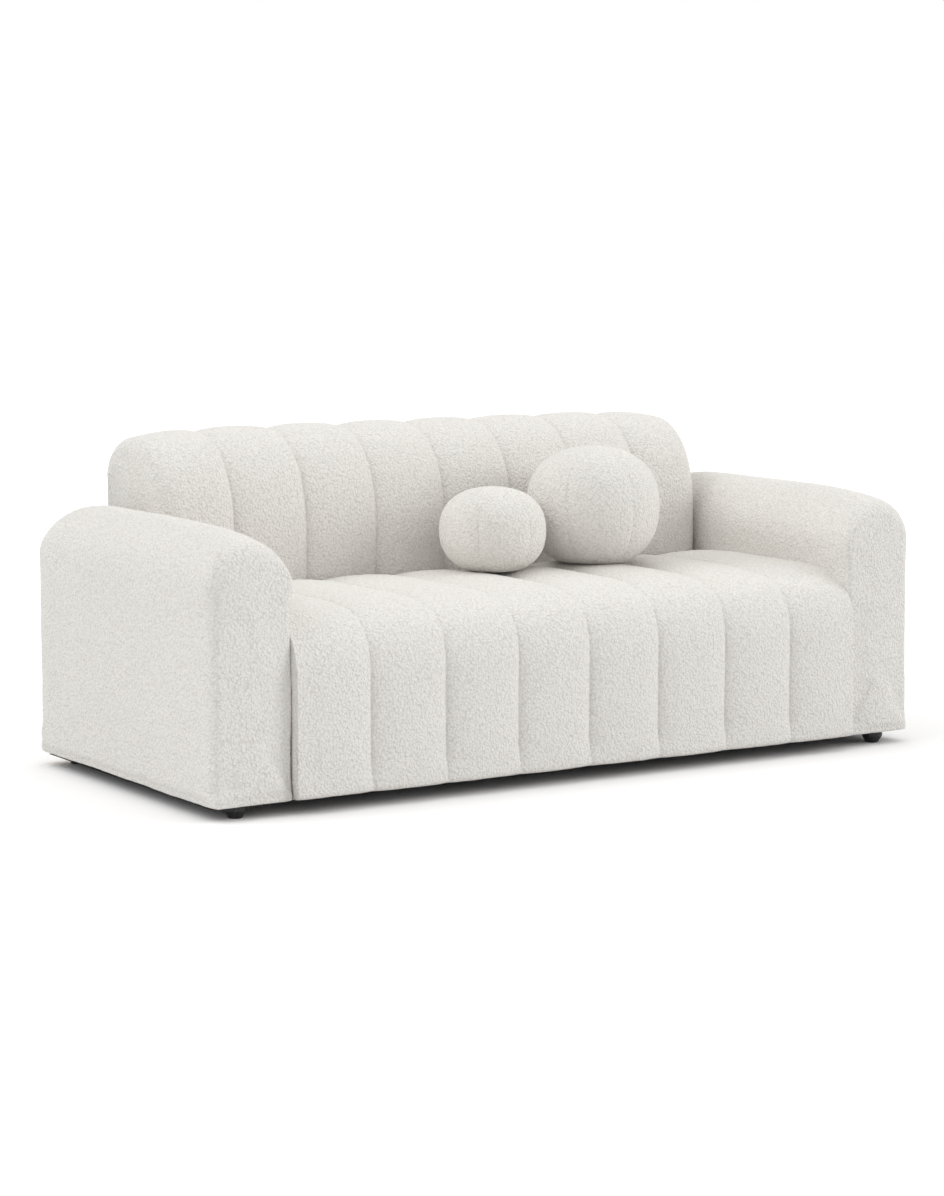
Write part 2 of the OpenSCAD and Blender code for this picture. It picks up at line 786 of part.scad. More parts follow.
module back_plates() {
    color(steel_colour) difference() {
        for (x = back_post_xs()) {
            board([x - plate_w / 2, back_frame_front_y - plate_t, rail_top_h - plate_l / 2],
                  [x + plate_w / 2, back_frame_front_y, rail_top_h + plate_l / 2]);
        }
        at_plate_screws() {
            bar_y(0, -plate_t - cut_over, 0, screw_d + 2 * hole_gap, plate_t + 2 * cut_over);
            bar_y(0, -plate_t - cut_over, 0, screw_head_d + 2 * hole_gap, screw_head_t + cut_over);
        }
    }
}

module plate_screws() {
    color(steel_colour) at_plate_screws() {
        bar_y(0, -plate_t, 0, screw_head_d, screw_head_t);
        bar_y(0, -plate_t, 0, screw_d, plate_t + screw_l - hole_gap);
    }
}

// Arms

module arm_cover(side) {
    x = side * arm_mid_x;
    color(fabric_colour) difference() {
        loft_shell(arm_rings(x, 0, foot_h), arm_rings(x, cover_t, foot_h));
        arm_bolt_holes(side);
    }
}

module arm_foam(side) {
    x = side * arm_mid_x;
    color(foam_colour) difference() {
        loft(arm_rings(x, cover_t + fit, frame_z));
        board([x - arm_frame_half - fit, arm_frame_front_y - fit, frame_z - cut_over],
              [x + arm_frame_half + fit, arm_frame_rear_y + fit, arm_frame_top_z + fit]);
        arm_bolt_holes(side);
    }
}

module arm_bottom_rail(side) {
    x = side * arm_mid_x;
    color(wood_colour) difference() {
        board([x - arm_board_half, arm_frame_front_y, frame_z],
              [x + arm_board_half, arm_frame_rear_y, frame_z + board_t]);
        for (y = [foot_front_y, foot_rear_y]) {
            translate([side * foot_x, y, frame_z - cut_over])
                cylinder(h = stud_in_rail + hole_gap + cut_over, d = stud_d + 2 * hole_gap, $fn = bar_sides);
        }
    }
}

module arm_top_rail(side) {
    x = side * arm_mid_x;
    color(wood_colour)
        board([x - arm_board_half, arm_frame_front_y, arm_frame_top_z - board_t],
              [x + arm_board_half, arm_frame_rear_y, arm_frame_top_z]);
}

module arm_posts(side) {
    x = side * arm_mid_x;
    middle = (arm_frame_front_y + arm_frame_rear_y - board_t) / 2;
    color(wood_colour) for (y = [arm_frame_front_y, middle, arm_frame_rear_y - board_t]) {
        board([x - arm_board_half, y, frame_z + board_t],
              [x + arm_board_half, y + board_t, arm_frame_top_z - board_t]);
    }
}

module arm_outer_panel(side) {
    x = side * arm_mid_x + (side > 0 ? arm_board_half : -arm_frame_half);
    color(ply_colour)
        board([x, arm_frame_front_y, frame_z], [x + panel_t, arm_frame_rear_y, arm_frame_top_z]);
}

module arm_inner_panel(side) {
    x = side * arm_mid_x + (side > 0 ? -arm_frame_half : arm_board_half);
    color(ply_colour) difference() {
        board([x, arm_frame_front_y, frame_z], [x + panel_t, arm_frame_rear_y, arm_frame_top_z]);
        arm_bolt_holes(side);
    }
}

module arm_dust_cover(side) {
    x = side * arm_mid_x;
    half = arm_w / 2 - cover_t - fit;
    low = arm_front_y + cover_t + fit + arm_edge_r;
    high = rear_y - cover_t - fit - arm_edge_r;
    color(dust_colour) difference() {
        board([x - half, low, frame_z - dust_t], [x + half, high, frame_z]);
        for (y = [foot_front_y, foot_rear_y]) {
            translate([side * foot_x, y, frame_z - dust_t - cut_over])
                cylinder(h = dust_t + 2 * cut_over, d = foot_top_d + 2 * fit, $fn = foot_sides);
        }
    }
}

module left_arm_cover() {
    arm_cover(-1);
}

module left_arm_foam() {
    arm_foam(-1);
}

module left_arm_bottom_rail() {
    arm_bottom_rail(-1);
}

module left_arm_top_rail() {
    arm_top_rail(-1);
}

module left_arm_posts() {
    arm_posts(-1);
}

module left_arm_outer_panel() {
    arm_outer_panel(-1);
}

module left_arm_inner_panel() {
    arm_inner_panel(-1);
}

module left_arm_dust_cover() {
    arm_dust_cover(-1);
}

module right_arm_cover() {
    arm_cover(1);
}

module right_arm_foam() {
    arm_foam(1);
}

module right_arm_bottom_rail() {
    arm_bottom_rail(1);
}

module right_arm_top_rail() {
    arm_top_rail(1);
}

module right_arm_posts() {
    arm_posts(1);
}

module right_arm_outer_panel() {
    arm_outer_panel(1);
}

module right_arm_inner_panel() {
    arm_inner_panel(1);
}

module right_arm_dust_cover() {
    arm_dust_cover(1);
}

// Bolts that join the arms to the base

module at_arm_bolts() {
    for (side = [-1, 1]) {
        for (s = bolt_shares) {
            y = base_inner_front_y + s * (back_frame_front_y - base_inner_front_y);
            translate([0, y, bolt_h]) mirror([side > 0 ? 0 : 1, 0, 0]) children();
        }
    }
}

module arm_bolts() {
    color(steel_colour) at_arm_bolts() {
        bar_x(washer_x - bolt_head_t, 0, 0, bolt_head_d, bolt_head_t);
        bar_x(washer_x - bolt_head_t, 0, 0, bolt_d, nut_x + nut_t + cover_t - washer_x + bolt_head_t);
    }
}

module arm_washers() {
    color(steel_colour) at_arm_bolts() difference() {
        bar_x(washer_x, 0, 0, washer_d, washer_t);
        bar_x(washer_x - cut_over, 0, 0, bolt_d + 2 * hole_gap, washer_t + 2 * cut_over);
    }
}

module arm_nuts() {
    color(steel_colour) at_arm_bolts() difference() {
        translate([nut_x, 0, 0]) rotate([0, 90, 0]) cylinder(h = nut_t, d = nut_d, $fn = 6);
        bar_x(nut_x - cut_over, 0, 0, bolt_d + 2 * hole_gap, nut_t + 2 * cut_over);
    }
}

// Feet

// Half outline of a foot: rounded lower edge and tapered side
function foot_outline() = concat(
    [[0, 0]],
    [for (i = [0:foot_steps]) let (a = -90 + 90 * i / foot_steps)
        [foot_tip_d / 2 - foot_edge_r + foot_edge_r * cos(a), foot_edge_r + foot_edge_r * sin(a)]],
    [[foot_top_d / 2, frame_z * foot_waist_share], [foot_top_d / 2, frame_z], [0, frame_z]]
);

module foot(sx, y) {
    color(plastic_colour) translate([sx * foot_x, y, 0]) difference() {
        rotate_extrude($fn = foot_sides) polygon(foot_outline());
        translate([0, 0, frame_z - stud_in_foot - hole_gap])
            cylinder(h = stud_in_foot + hole_gap + cut_over, d = stud_d + 2 * hole_gap, $fn = bar_sides);
    }
}

module front_left_foot() {
    foot(-1, foot_front_y);
}

module front_right_foot() {
    foot(1, foot_front_y);
}

module rear_left_foot() {
    foot(-1, foot_rear_y);
}

module rear_right_foot() {
    foot(1, foot_rear_y);
}

module foot_studs() {
    color(steel_colour) for (sx = [-1, 1]) {
        for (y = [foot_front_y, foot_rear_y]) {
            translate([sx * foot_x, y, frame_z - stud_in_foot])
                cylinder(h = stud_in_foot + stud_in_rail, d = stud_d, $fn = bar_sides);
        }
    }
}

// Ball pillows

module ball_cover(x, y, d, h, turn) {
    color(fabric_colour) difference() {
        loft(gored_rings(x, y, d, h, turn));
        loft(core_rings(x, y, d, h, cover_t));
    }
}

module ball_filling(x, y, d, h) {
    color(foam_colour) loft(core_rings(x, y, d, h, cover_t + fit));
}

module small_ball_cover() {
    ball_cover(small_ball_x, small_ball_y, small_ball_d, small_ball_h, small_ball_turn);
}

module small_ball_filling() {
    ball_filling(small_ball_x, small_ball_y, small_ball_d, small_ball_h);
}

module large_ball_cover() {
    ball_cover(large_ball_x, large_ball_y, large_ball_d, large_ball_h, large_ball_turn);
}

module large_ball_filling() {
    ball_filling(large_ball_x, large_ball_y, large_ball_d, large_ball_h);
}

seat_cover();
seat_foam();
seat_felt();
seat_springs();
spring_clips();
base_front_rail();
base_rear_rail();
base_left_rail();
base_right_rail();
base_cross_rails();
base_corner_blocks();
seat_rear_rail();
base_dust_cover();
back_cover();
back_left_end_cover();
back_right_end_cover();
back_rear_cover();
back_foam();
back_wadding();
back_panel();
back_top_rail();
back_left_post();
back_right_post();
back_centre_posts();
back_straps();
back_plates();
plate_screws();
left_arm_cover();
left_arm_foam();
left_arm_bottom_rail();
left_arm_top_rail();
left_arm_posts();
left_arm_outer_panel();
left_arm_inner_panel();
left_arm_dust_cover();
right_arm_cover();
right_arm_foam();
right_arm_bottom_rail();
right_arm_top_rail();
right_arm_posts();
right_arm_outer_panel();
right_arm_inner_panel();
right_arm_dust_cover();
arm_bolts();
arm_washers();
arm_nuts();
front_left_foot();
front_right_foot();
rear_left_foot();
rear_right_foot();
foot_studs();
small_ball_cover();
small_ball_filling();
large_ball_cover();
large_ball_filling();
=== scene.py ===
"""Looks of the channelled sofa: upholstery, loose ball pillows, finishes, floor, light and camera."""
from __future__ import annotations

import json
import logging
import math
from dataclasses import dataclass
from enum import Enum
from typing import Callable, Sequence

import bmesh
import bpy
import numpy as np
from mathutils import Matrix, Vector, noise


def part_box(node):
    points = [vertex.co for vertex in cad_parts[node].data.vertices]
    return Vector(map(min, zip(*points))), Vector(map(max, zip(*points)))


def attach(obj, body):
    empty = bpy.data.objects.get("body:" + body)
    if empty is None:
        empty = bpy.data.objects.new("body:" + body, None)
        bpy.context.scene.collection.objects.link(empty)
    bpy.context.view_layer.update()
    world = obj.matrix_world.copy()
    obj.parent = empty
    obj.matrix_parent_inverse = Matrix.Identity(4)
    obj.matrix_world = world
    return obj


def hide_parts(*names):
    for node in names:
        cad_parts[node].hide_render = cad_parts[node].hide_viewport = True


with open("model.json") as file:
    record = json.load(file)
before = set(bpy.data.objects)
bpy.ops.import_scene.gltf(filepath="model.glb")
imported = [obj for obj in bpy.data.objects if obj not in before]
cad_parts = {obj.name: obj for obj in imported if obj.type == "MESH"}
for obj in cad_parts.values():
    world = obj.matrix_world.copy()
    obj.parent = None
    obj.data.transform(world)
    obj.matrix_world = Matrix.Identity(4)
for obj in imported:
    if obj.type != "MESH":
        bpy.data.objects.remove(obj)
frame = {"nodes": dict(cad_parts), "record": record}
LOG = logging.getLogger("sofa")
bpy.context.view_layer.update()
ROOT = "root"
WHITE = (1.0, 1.0, 1.0)
MID_NOISE = 0.5
BROAD_LUMPS_PER_M = 6.0
SMALL_LUMPS_PER_M = 45.0
SMALL_LUMPS_SEED = 5.0

Array = np.ndarray
Material = bpy.types.Material
Piece = bpy.types.Object
Triple = tuple[float, float, float]


class Side(Enum):
    """The two sides of the sofa, as seen from the front."""

    LEFT = -1
    RIGHT = 1

    @property
    def word(self) -> str:
        """Name of the side as the nodes spell it."""
        return self.name.lower()


class Slot(Enum):
    """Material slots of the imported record."""

    BOUCLE = "boucle"
    FOAM = "foam"
    FELT = "felt"
    DUST_CLOTH = "dust_cloth"
    WEBBING = "webbing"
    TIMBER = "timber"
    PLYWOOD = "plywood"
    STEEL = "zinc_steel"
    PLASTIC = "black_plastic"


# Nodes and shader maths


def operator(operation: str, flipped: bool = False) -> Callable[..., Wire]:
    """Makes a method of a wire from one operation of the Math node.

    Args:
        operation: the node's operation.
        flipped: whether the wire itself comes last.

    Returns:
        The method, which takes further wires or numbers.
    """

    def method(wire: Wire, *others: object) -> Wire:
        """Result of the operation on the wire and the others."""
        operands = (wire, *others)
        return wire.maths(operation, *(operands[::-1] if flipped else operands))

    return method


class Wire:
    """A socket that takes Python arithmetic and adds its Math nodes."""

    __add__ = __radd__ = operator("ADD")
    __mul__ = __rmul__ = operator("MULTIPLY")
    __sub__ = operator("SUBTRACT")
    __rsub__ = operator("SUBTRACT", flipped=True)
    __truediv__ = operator("DIVIDE")
    __pow__ = operator("POWER")
    __abs__ = operator("ABSOLUTE")
    fraction = operator("FRACT")
    root = operator("SQRT")
    sine = operator("SINE")
    angle = operator("ARCTAN2")
    larger = operator("MAXIMUM")

    def __init__(self, bench: Bench, socket: bpy.types.NodeSocket) -> None:
        """Args: bench: what adds the nodes. socket: the output that this wire carries."""
        self.bench = bench
        self.socket = socket

    def maths(self, operation: str, *operands: object, clamp: bool = False) -> Wire:
        """Result of one Math node on wires or numbers, held between 0 and 1 if clamped."""
        settings = {"operation": operation, "use_clamp": clamp}
        return self.bench.node("ShaderNodeMath", settings, dict(enumerate(operands)))[0]

    def clamped(self) -> Wire:
        """The same value, held between 0 and 1."""
        return self.maths("ADD", self, 0.0, clamp=True)


class Bench:
    """Adds nodes to one tree."""

    def __init__(self, tree: bpy.types.NodeTree) -> None:
        """Args: tree: the tree."""
        self.tree = tree

    def node(self, kind: str, settings: dict[str, object], inputs: dict[object, object]) -> list[Wire]:
        """Adds any node.

        Args:
            kind: the node's type.
            settings: the node's properties, set before its sockets.
            inputs: a wire, a list of wires or a value for each named or numbered socket.

        Returns:
            The node's outputs as wires.
        """
        made = self.tree.nodes.new(kind)
        for key, value in settings.items():
            setattr(made, key, value)
        for key, value in inputs.items():
            wires = value if isinstance(value, list) else [value]
            for wire in wires:
                if isinstance(wire, Wire):
                    self.tree.links.new(wire.socket, made.inputs[key])
                else:
                    made.inputs[key].default_value = wire
        return [Wire(self, s) for s in made.outputs]

    def vector(self, operation: str, inputs: dict[object, object]) -> Wire:
        """Result of one Vector Math node with a wire or a value for each socket."""
        return self.node("ShaderNodeVectorMath", {"operation": operation}, inputs)[0]

    def parts(self, vector: Wire) -> list[Wire]:
        """The three numbers of a vector."""
        return self.node("ShaderNodeSeparateXYZ", {}, {"Vector": vector})

    def joined(self, x: object, y: object, z: object) -> Wire:
        """A vector from three numbers or wires."""
        return self.node("ShaderNodeCombineXYZ", {}, {0: x, 1: y, 2: z})[0]


class Kit(Bench):
    """Builds one material's nodes."""

    def __init__(self, name: str) -> None:
        """Args: name: the material's name."""
        self.material = bpy.data.materials.new(name)
        self.material.use_nodes = True
        super().__init__(self.material.node_tree)
        self.tree.nodes.clear()

    def place(self) -> Wire:
        """Position on the piece in metres, from the fourth output, the object coordinates."""
        return self.node("ShaderNodeTexCoord", {}, {})[3]

    def noise(self, vector: Wire, scale: float, detail: float = 2.0, rough: float = 0.5) -> list[Wire]:
        """Value and colour of noise, by its features per metre, its octaves and the finer ones' share."""
        return self.node("ShaderNodeTexNoise", {}, {
            "Vector": vector, "Scale": scale, "Detail": detail, "Roughness": rough})

    def stretched(self, vector: Wire, by: Triple) -> Wire:
        """A position with each axis scaled."""
        return self.vector("MULTIPLY", {0: vector, 1: by})

    def warped(self, vector: Wire, scale: float, amount: float) -> Wire:
        """A position that noise pushes about, by its features per metre and its push in metres."""
        centred = self.vector("SUBTRACT", {0: self.noise(vector, scale, 1.0)[1], 1: (MID_NOISE,) * 3})
        return self.vector("ADD", {0: vector, 1: self.vector("SCALE", {0: centred, "Scale": amount})})

    def cells(self, vector: Wire, scale: float) -> Wire:
        """Distance from the middle of the nearest cell, by the number of cells per metre."""
        return self.node("ShaderNodeTexVoronoi", {}, {"Vector": vector, "Scale": scale})[0]

    def mix(self, share: Wire, first: Triple, second: Triple) -> Wire:
        """Mix of two colours by the share of the second, on the node's three colour sockets."""
        colours = {0: share, 6: (*first, 1.0), 7: (*second, 1.0)}
        return self.node("ShaderNodeMix", {"data_type": "RGBA"}, colours)[2]

    def bump(self, height: Wire, distance: float, strength: float) -> Wire:
        """Normal of a surface that a height of 1 raises by a distance in metres."""
        return self.node("ShaderNodeBump", {}, {
            "Height": height, "Distance": distance, "Strength": strength})[0]

    def finish(self, values: dict[str, object]) -> Material:
        """Ends the tree with a Principled shader.

        Args:
            values: a wire or a value for each of its named sockets.

        Returns:
            The material.
        """
        surface = self.node("ShaderNodeBsdfPrincipled", {}, values)[0]
        self.node("ShaderNodeOutputMaterial", {}, {"Surface": surface})
        return self.material


class Jig(Bench):
    """One Geometry Nodes tree with named sizes, run on a piece and baked into its mesh."""

    def __init__(self, name: str, sizes: dict[str, float]) -> None:
        """Args: name: the tree's name. sizes: value of each named input."""
        group = bpy.data.node_groups.new(name, "GeometryNodeTree")
        face = group.interface
        face.new_socket("Geometry", in_out="INPUT", socket_type="NodeSocketGeometry")
        kinds = {**dict.fromkeys(sizes, "NodeSocketFloat"), "Finish": "NodeSocketMaterial"}
        self.keys = {label: face.new_socket(label, in_out="INPUT", socket_type=kind).identifier
                     for label, kind in kinds.items()}
        face.new_socket("Geometry", in_out="OUTPUT", socket_type="NodeSocketGeometry")
        super().__init__(group)
        self.sizes = sizes
        self.inputs = dict(zip(["Geometry", *kinds], self.node("NodeGroupInput", {}, {})))

    def place(self) -> list[Wire]:
        """The three numbers of each point's position."""
        return self.parts(self.node("GeometryNodeInputPosition", {}, {})[0])

    def dip(self, share: Wire, floor: object) -> Wire:
        """Share of the seams' depth at each point, which the Roundness input shapes.

        Args:
            share: share of the way from one seam to the next.
            floor: least value under the root, which keeps the seam from ending in a cut.

        Returns:
            1 at a seam and 0 halfway between two.
        """
        off = abs(share * 2 - 1)
        return 1 - (1 - off ** self.inputs["Roundness"]).larger(floor).root()

    def shift(self, offset: Wire) -> None:
        """Ends the tree with every point moved. Args: offset: the move of each point."""
        points = {"Geometry": self.inputs["Geometry"], "Offset": offset}
        self.close(self.node("GeometryNodeSetPosition", {}, points)[0])

    def close(self, geometry: Wire) -> None:
        """Ends the tree with realised geometry in its finish.

        Args:
            geometry: what the tree made.
        """
        real = self.node("GeometryNodeRealizeInstances", {}, {0: geometry})[0]
        dressed = {"Geometry": real, "Material": self.inputs["Finish"]}
        self.node("NodeGroupOutput", {}, {0: self.node("GeometryNodeSetMaterial", {}, dressed)[0]})

    def run(self, piece: Piece, material: Material) -> None:
        """Runs the tree on a piece and keeps the result as its mesh.

        Args:
            piece: the piece.
            material: its finish.
        """
        modifier = piece.modifiers.new(self.tree.name, "NODES")
        modifier.node_group = self.tree
        for label, value in self.sizes.items():
            modifier[self.keys[label]] = float(value)
        modifier[self.keys["Finish"]] = material
        bake(piece)


# Finishes


@dataclass(frozen=True)
class Boucle:
    """Off-white looped fabric: small curled loops about 6 mm across, with soft hollows between them that get
    painted shade.
    """

    # light is the colour of the loops' tops; shade is a darker copy of it, painted shade that fills the
    # hollows.
    light: Triple = (0.880, 0.860, 0.825)
    shade: Triple = (0.735, 0.708, 0.665)
    loops_per_m: float = 165.0
    loop_slope: float = 1.15
    loop_share: float = 0.62
    curls_per_m: float = 130.0
    curl_m: float = 0.0045
    strands_per_m: float = 330.0
    strand_share: float = 0.5
    patches_per_m: float = 9.0
    patch_share: float = 0.10
    # How low a loop must lie to take the painted shade, and how fast it darkens below that.
    shade_below: float = 0.72
    shade_slope: float = 2.0
    pile: float = 0.0042

    def build(self) -> Material:
        """Returns: the material."""
        kit = Kit("boucle_fabric")
        place = kit.place()
        curled = kit.warped(place, self.curls_per_m, self.curl_m)
        loops = 1 - kit.cells(curled, self.loops_per_m) * self.loop_slope
        strands = kit.noise(curled, self.strands_per_m, 2.0, 0.6)[0]
        height = (loops * self.loop_share + strands * self.strand_share).clamped()
        patches = kit.noise(place, self.patches_per_m, 3.0, 0.55)[0]
        # Painted shade: the lower the loops lie, the more of the shade colour, as if shade fell into the
        # hollows; the patches add random tone on top.
        hollow_shade = (self.shade_below - height) * self.shade_slope
        share = (hollow_shade + (patches - MID_NOISE) * self.patch_share).clamped()
        return kit.finish({
            "Base Color": kit.mix(share, self.light, self.shade),
            "Roughness": 0.95,
            "Specular IOR Level": 0.12,
            "Sheen Weight": 0.15,
            "Sheen Roughness": 0.4,
            "Normal": kit.bump(height, self.pile, 1.0),
        })


@dataclass(frozen=True)
class Foam:
    """Open-celled upholstery foam, with painted shade in the pits of its pores."""

    colour: Triple = (0.84, 0.76, 0.52)
    dark_share: float = 0.8
    pores_per_m: float = 700.0
    pore_share: float = 0.5
    pore_depth: float = 0.0008
    stains_per_m: float = 9.0
    stain_share: float = 0.6

    def build(self) -> Material:
        """Returns: the material."""
        kit = Kit("upholstery_foam")
        place = kit.place()
        pores = kit.cells(place, self.pores_per_m)
        stain = kit.noise(place, self.stains_per_m, 3.0)[0]
        # Painted shade: darker towards the middle of each pore, where the bump sinks it; the stains are
        # random tone.
        share = (stain * self.stain_share + (MID_NOISE - pores) * self.pore_share).clamped()
        dark = tuple(self.dark_share * c for c in self.colour)
        return kit.finish({
            "Base Color": kit.mix(share, self.colour, dark),
            "Roughness": 0.95,
            "Normal": kit.bump(pores, self.pore_depth, 0.6),
        })


@dataclass(frozen=True)
class Felt:
    """Grey needled felt of mixed fibres."""

    dark: Triple = (0.10, 0.10, 0.11)
    light: Triple = (0.34, 0.34, 0.35)
    swirls_per_m: float = 60.0
    swirl_m: float = 0.02
    fibres_per_m: float = 420.0
    fibre_share: float = 0.8
    fibre_height: float = 0.0012
    blots_per_m: float = 45.0
    blot_share: float = 0.5
    darker_by: float = 0.15

    def build(self) -> Material:
        """Returns: the material."""
        kit = Kit("needled_felt")
        place = kit.place()
        fibres = kit.noise(kit.warped(place, self.swirls_per_m, self.swirl_m), self.fibres_per_m, 4.0, 0.7)[0]
        blots = kit.noise(place, self.blots_per_m, 2.0)[0]
        share = (fibres * self.fibre_share + blots * self.blot_share - self.darker_by).clamped()
        return kit.finish({
            "Base Color": kit.mix(share, self.dark, self.light),
            "Roughness": 0.98,
            "Normal": kit.bump(fibres, self.fibre_height, 0.7),
        })


@dataclass(frozen=True)
class WovenBand:
    """Plain woven strap or lining cloth, with threads along X and across it."""

    name: str
    dark: Triple
    light: Triple
    threads_per_m: float
    relief: float
    weave_share: float = 0.7
    wear_per_m: float = 30.0
    wear_share: float = 0.4
    darker_by: float = 0.1

    def build(self) -> Material:
        """Returns: the material."""
        kit = Kit(self.name)
        place = kit.place()
        x, y, z = kit.parts(place)
        turn = 2 * math.pi * self.threads_per_m
        weave = (x * turn).sine() * ((z + y) * turn).sine() * 0.5 + 0.5
        wear = kit.noise(place, self.wear_per_m, 3.0)[0]
        share = (weave * self.weave_share + wear * self.wear_share - self.darker_by).clamped()
        return kit.finish({
            "Base Color": kit.mix(share, self.dark, self.light),
            "Roughness": 0.9,
            "Normal": kit.bump(weave, self.relief, 0.7),
        })


@dataclass(frozen=True)
class Wood:
    """Planed timber or plywood with its grain along one axis."""

    name: str
    pale: Triple
    dark: Triple
    rings_per_m: float
    stretch: Triple
    fibres_per_ring: float = 9.0
    fibre_share: float = 0.4
    fibre_height: float = 0.0005
    ring_from: float = 0.35
    ring_slope: float = 2.2
    ring_share: float = 0.6

    def build(self) -> Material:
        """Returns: the material."""
        kit = Kit(self.name)
        grain = kit.stretched(kit.warped(kit.place(), 3.0, 0.03), self.stretch)
        rings = kit.noise(grain, self.rings_per_m, 3.0, 0.55)[0]
        fibre = kit.noise(grain, self.rings_per_m * self.fibres_per_ring, 2.0, 0.6)[0]
        ring = ((rings - self.ring_from) * self.ring_slope).clamped()
        tone = (ring * self.ring_share + fibre * self.fibre_share).clamped()
        return kit.finish({
            "Base Color": kit.mix(tone, self.pale, self.dark),
            "Roughness": fibre * 0.25 + 0.5,
            "Normal": kit.bump(fibre, self.fibre_height, 0.5),
        })


@dataclass(frozen=True)
class Steel:
    """Zinc-plated steel with a fine spangle and light scratches."""

    colour: Triple = (0.56, 0.57, 0.58)
    dull_share: float = 0.72
    spangles_per_m: float = 260.0
    scratches_per_m: float = 160.0
    scratch_stretch: Triple = (1.0, 14.0, 1.0)
    scratch_depth: float = 0.0001

    def build(self) -> Material:
        """Returns: the material."""
        kit = Kit("zinc_plated_steel")
        place = kit.place()
        spangle = kit.noise(place, self.spangles_per_m, 2.0)[0]
        scratch = kit.noise(kit.stretched(place, self.scratch_stretch), self.scratches_per_m, 2.0, 0.7)[0]
        dull = tuple(self.dull_share * c for c in self.colour)
        return kit.finish({
            "Base Color": kit.mix(spangle, self.colour, dull),
            "Metallic": 1.0,
            "Roughness": scratch * 0.3 + 0.25,
            "Normal": kit.bump(scratch, self.scratch_depth, 0.4),
        })


@dataclass(frozen=True)
class MouldedPlastic:
    """Black moulded plastic with a fine grain and faint scuffs near the floor."""

    colour: Triple = (0.012, 0.012, 0.013)
    scuffed: Triple = (0.08, 0.08, 0.08)
    scuff_height: float = 0.012
    scuffs_per_m: float = 120.0
    scuff_stretch: Triple = (1.0, 1.0, 4.0)
    scuff_from: float = 0.45
    scuff_slope: float = 3.0
    scuff_share: float = 0.5
    grains_per_m: float = 1500.0
    grain_depth: float = 0.00012

    def build(self) -> Material:
        """Returns: the material."""
        kit = Kit("black_moulded_plastic")
        place = kit.place()
        low = (1 - kit.parts(place)[2] / self.scuff_height).clamped()
        grain = kit.noise(place, self.grains_per_m, 2.0)[0]
        scuffs = kit.noise(kit.stretched(place, self.scuff_stretch), self.scuffs_per_m, 3.0, 0.7)[0]
        worn = low * ((scuffs - self.scuff_from) * self.scuff_slope).clamped() * self.scuff_share
        return kit.finish({
            "Base Color": kit.mix(worn, self.colour, self.scuffed),
            "Roughness": grain * 0.15 + 0.36,
            "Normal": kit.bump(grain, self.grain_depth, 0.5),
        })


class Palette:
    """Every finish, built once and looked up by its slot."""

    def __init__(self) -> None:
        """Builds every material."""
        finishes = {
            Slot.BOUCLE: Boucle(),
            Slot.FOAM: Foam(),
            Slot.FELT: Felt(),
            Slot.DUST_CLOTH: WovenBand(
                "dust_cloth", (0.012, 0.012, 0.013), (0.045, 0.045, 0.048), 700.0, 0.0003),
            Slot.WEBBING: WovenBand(
                "jute_webbing", (0.10, 0.075, 0.05), (0.30, 0.24, 0.17), 320.0, 0.0008),
            Slot.TIMBER: Wood(
                "planed_pine", (0.72, 0.52, 0.30), (0.52, 0.33, 0.16), 22.0, (0.6, 0.6, 3.0)),
            Slot.PLYWOOD: Wood(
                "poplar_plywood", (0.68, 0.50, 0.30), (0.50, 0.34, 0.18), 30.0, (3.0, 0.5, 3.0)),
            Slot.STEEL: Steel(),
            Slot.PLASTIC: MouldedPlastic(),
        }
        self.made = {slot: finish.build() for slot, finish in finishes.items()}

    def dress_frame(self) -> None:
        """Gives every CAD node the material of its slot."""
        slots = {s["node"]: s["material_slot"] for s in frame["record"]["subparts"]}
        for name, node in frame["nodes"].items():
            give(node, self.made[Slot(slots[name])])


# Mesh tools


def stack(*columns: Array | float) -> Array:
    """Points from their columns, of which a single number fills its whole column."""
    return np.column_stack(np.broadcast_arrays(*columns))


def quarter(count: int) -> Array:
    """Angles of a quarter turn, in radians."""
    return np.radians(np.linspace(0, 90, count))


def superquarter(power: float, count: int) -> tuple[Array, Array]:
    """Cosines and sines of a quarter of a squared round: power 2 is a circle, and more is squarer."""
    angles = quarter(count)
    return np.abs(np.cos(angles)) ** (2 / power), np.abs(np.sin(angles)) ** (2 / power)


def hem_round(radius: float, count: int = 8) -> tuple[Array, Array]:
    """Inset and height along the small round of a hem, from its lowest point up."""
    turn = quarter(count)
    return radius * (1 - np.sin(turn)), radius * (1 - np.cos(turn))


def round_drop(radius: float, reach: Array | float) -> Array | float:
    """Drop of a quarter round at a reach from its end, which is 0 past the radius."""
    inside = np.clip(radius - reach, 0, radius)
    return radius - np.sqrt(np.maximum(radius * radius - inside * inside, 0))


def resample(line: Array, count: int) -> Array:
    """Points at even steps along a line.

    Args:
        line: the line's points, one per row, whose first two numbers measure its length.
        count: how many points to return.

    Returns:
        The even points, with both ends kept and every further number carried along.
    """
    steps = np.r_[0, np.cumsum(np.linalg.norm(np.diff(line[:, :2], axis=0), axis=1))]
    wanted = np.linspace(0, steps[-1], count)
    return np.stack([np.interp(wanted, steps, line[:, k]) for k in range(line.shape[1])], axis=1)


def smooth_lumps(points: Array, scale: float, seed: float) -> Array:
    """Smooth noise from about -1 to 1 at each point, by its lumps per metre and the seed of its pattern."""
    shift = Vector((seed, 2 * seed, 3 * seed))
    return np.array([noise.noise(Vector(p) * scale + shift) for p in points])


def add_object(name: str, mesh: bpy.types.Mesh, smooth: bool = True) -> Piece:
    """Puts a mesh into the scene.

    Args:
        name: the object's name.
        mesh: its mesh.
        smooth: whether its faces are shaded smooth.

    Returns:
        The new object.
    """
    made = bpy.data.objects.new(name, mesh)
    bpy.context.scene.collection.objects.link(made)
    shade(made, smooth)
    return made


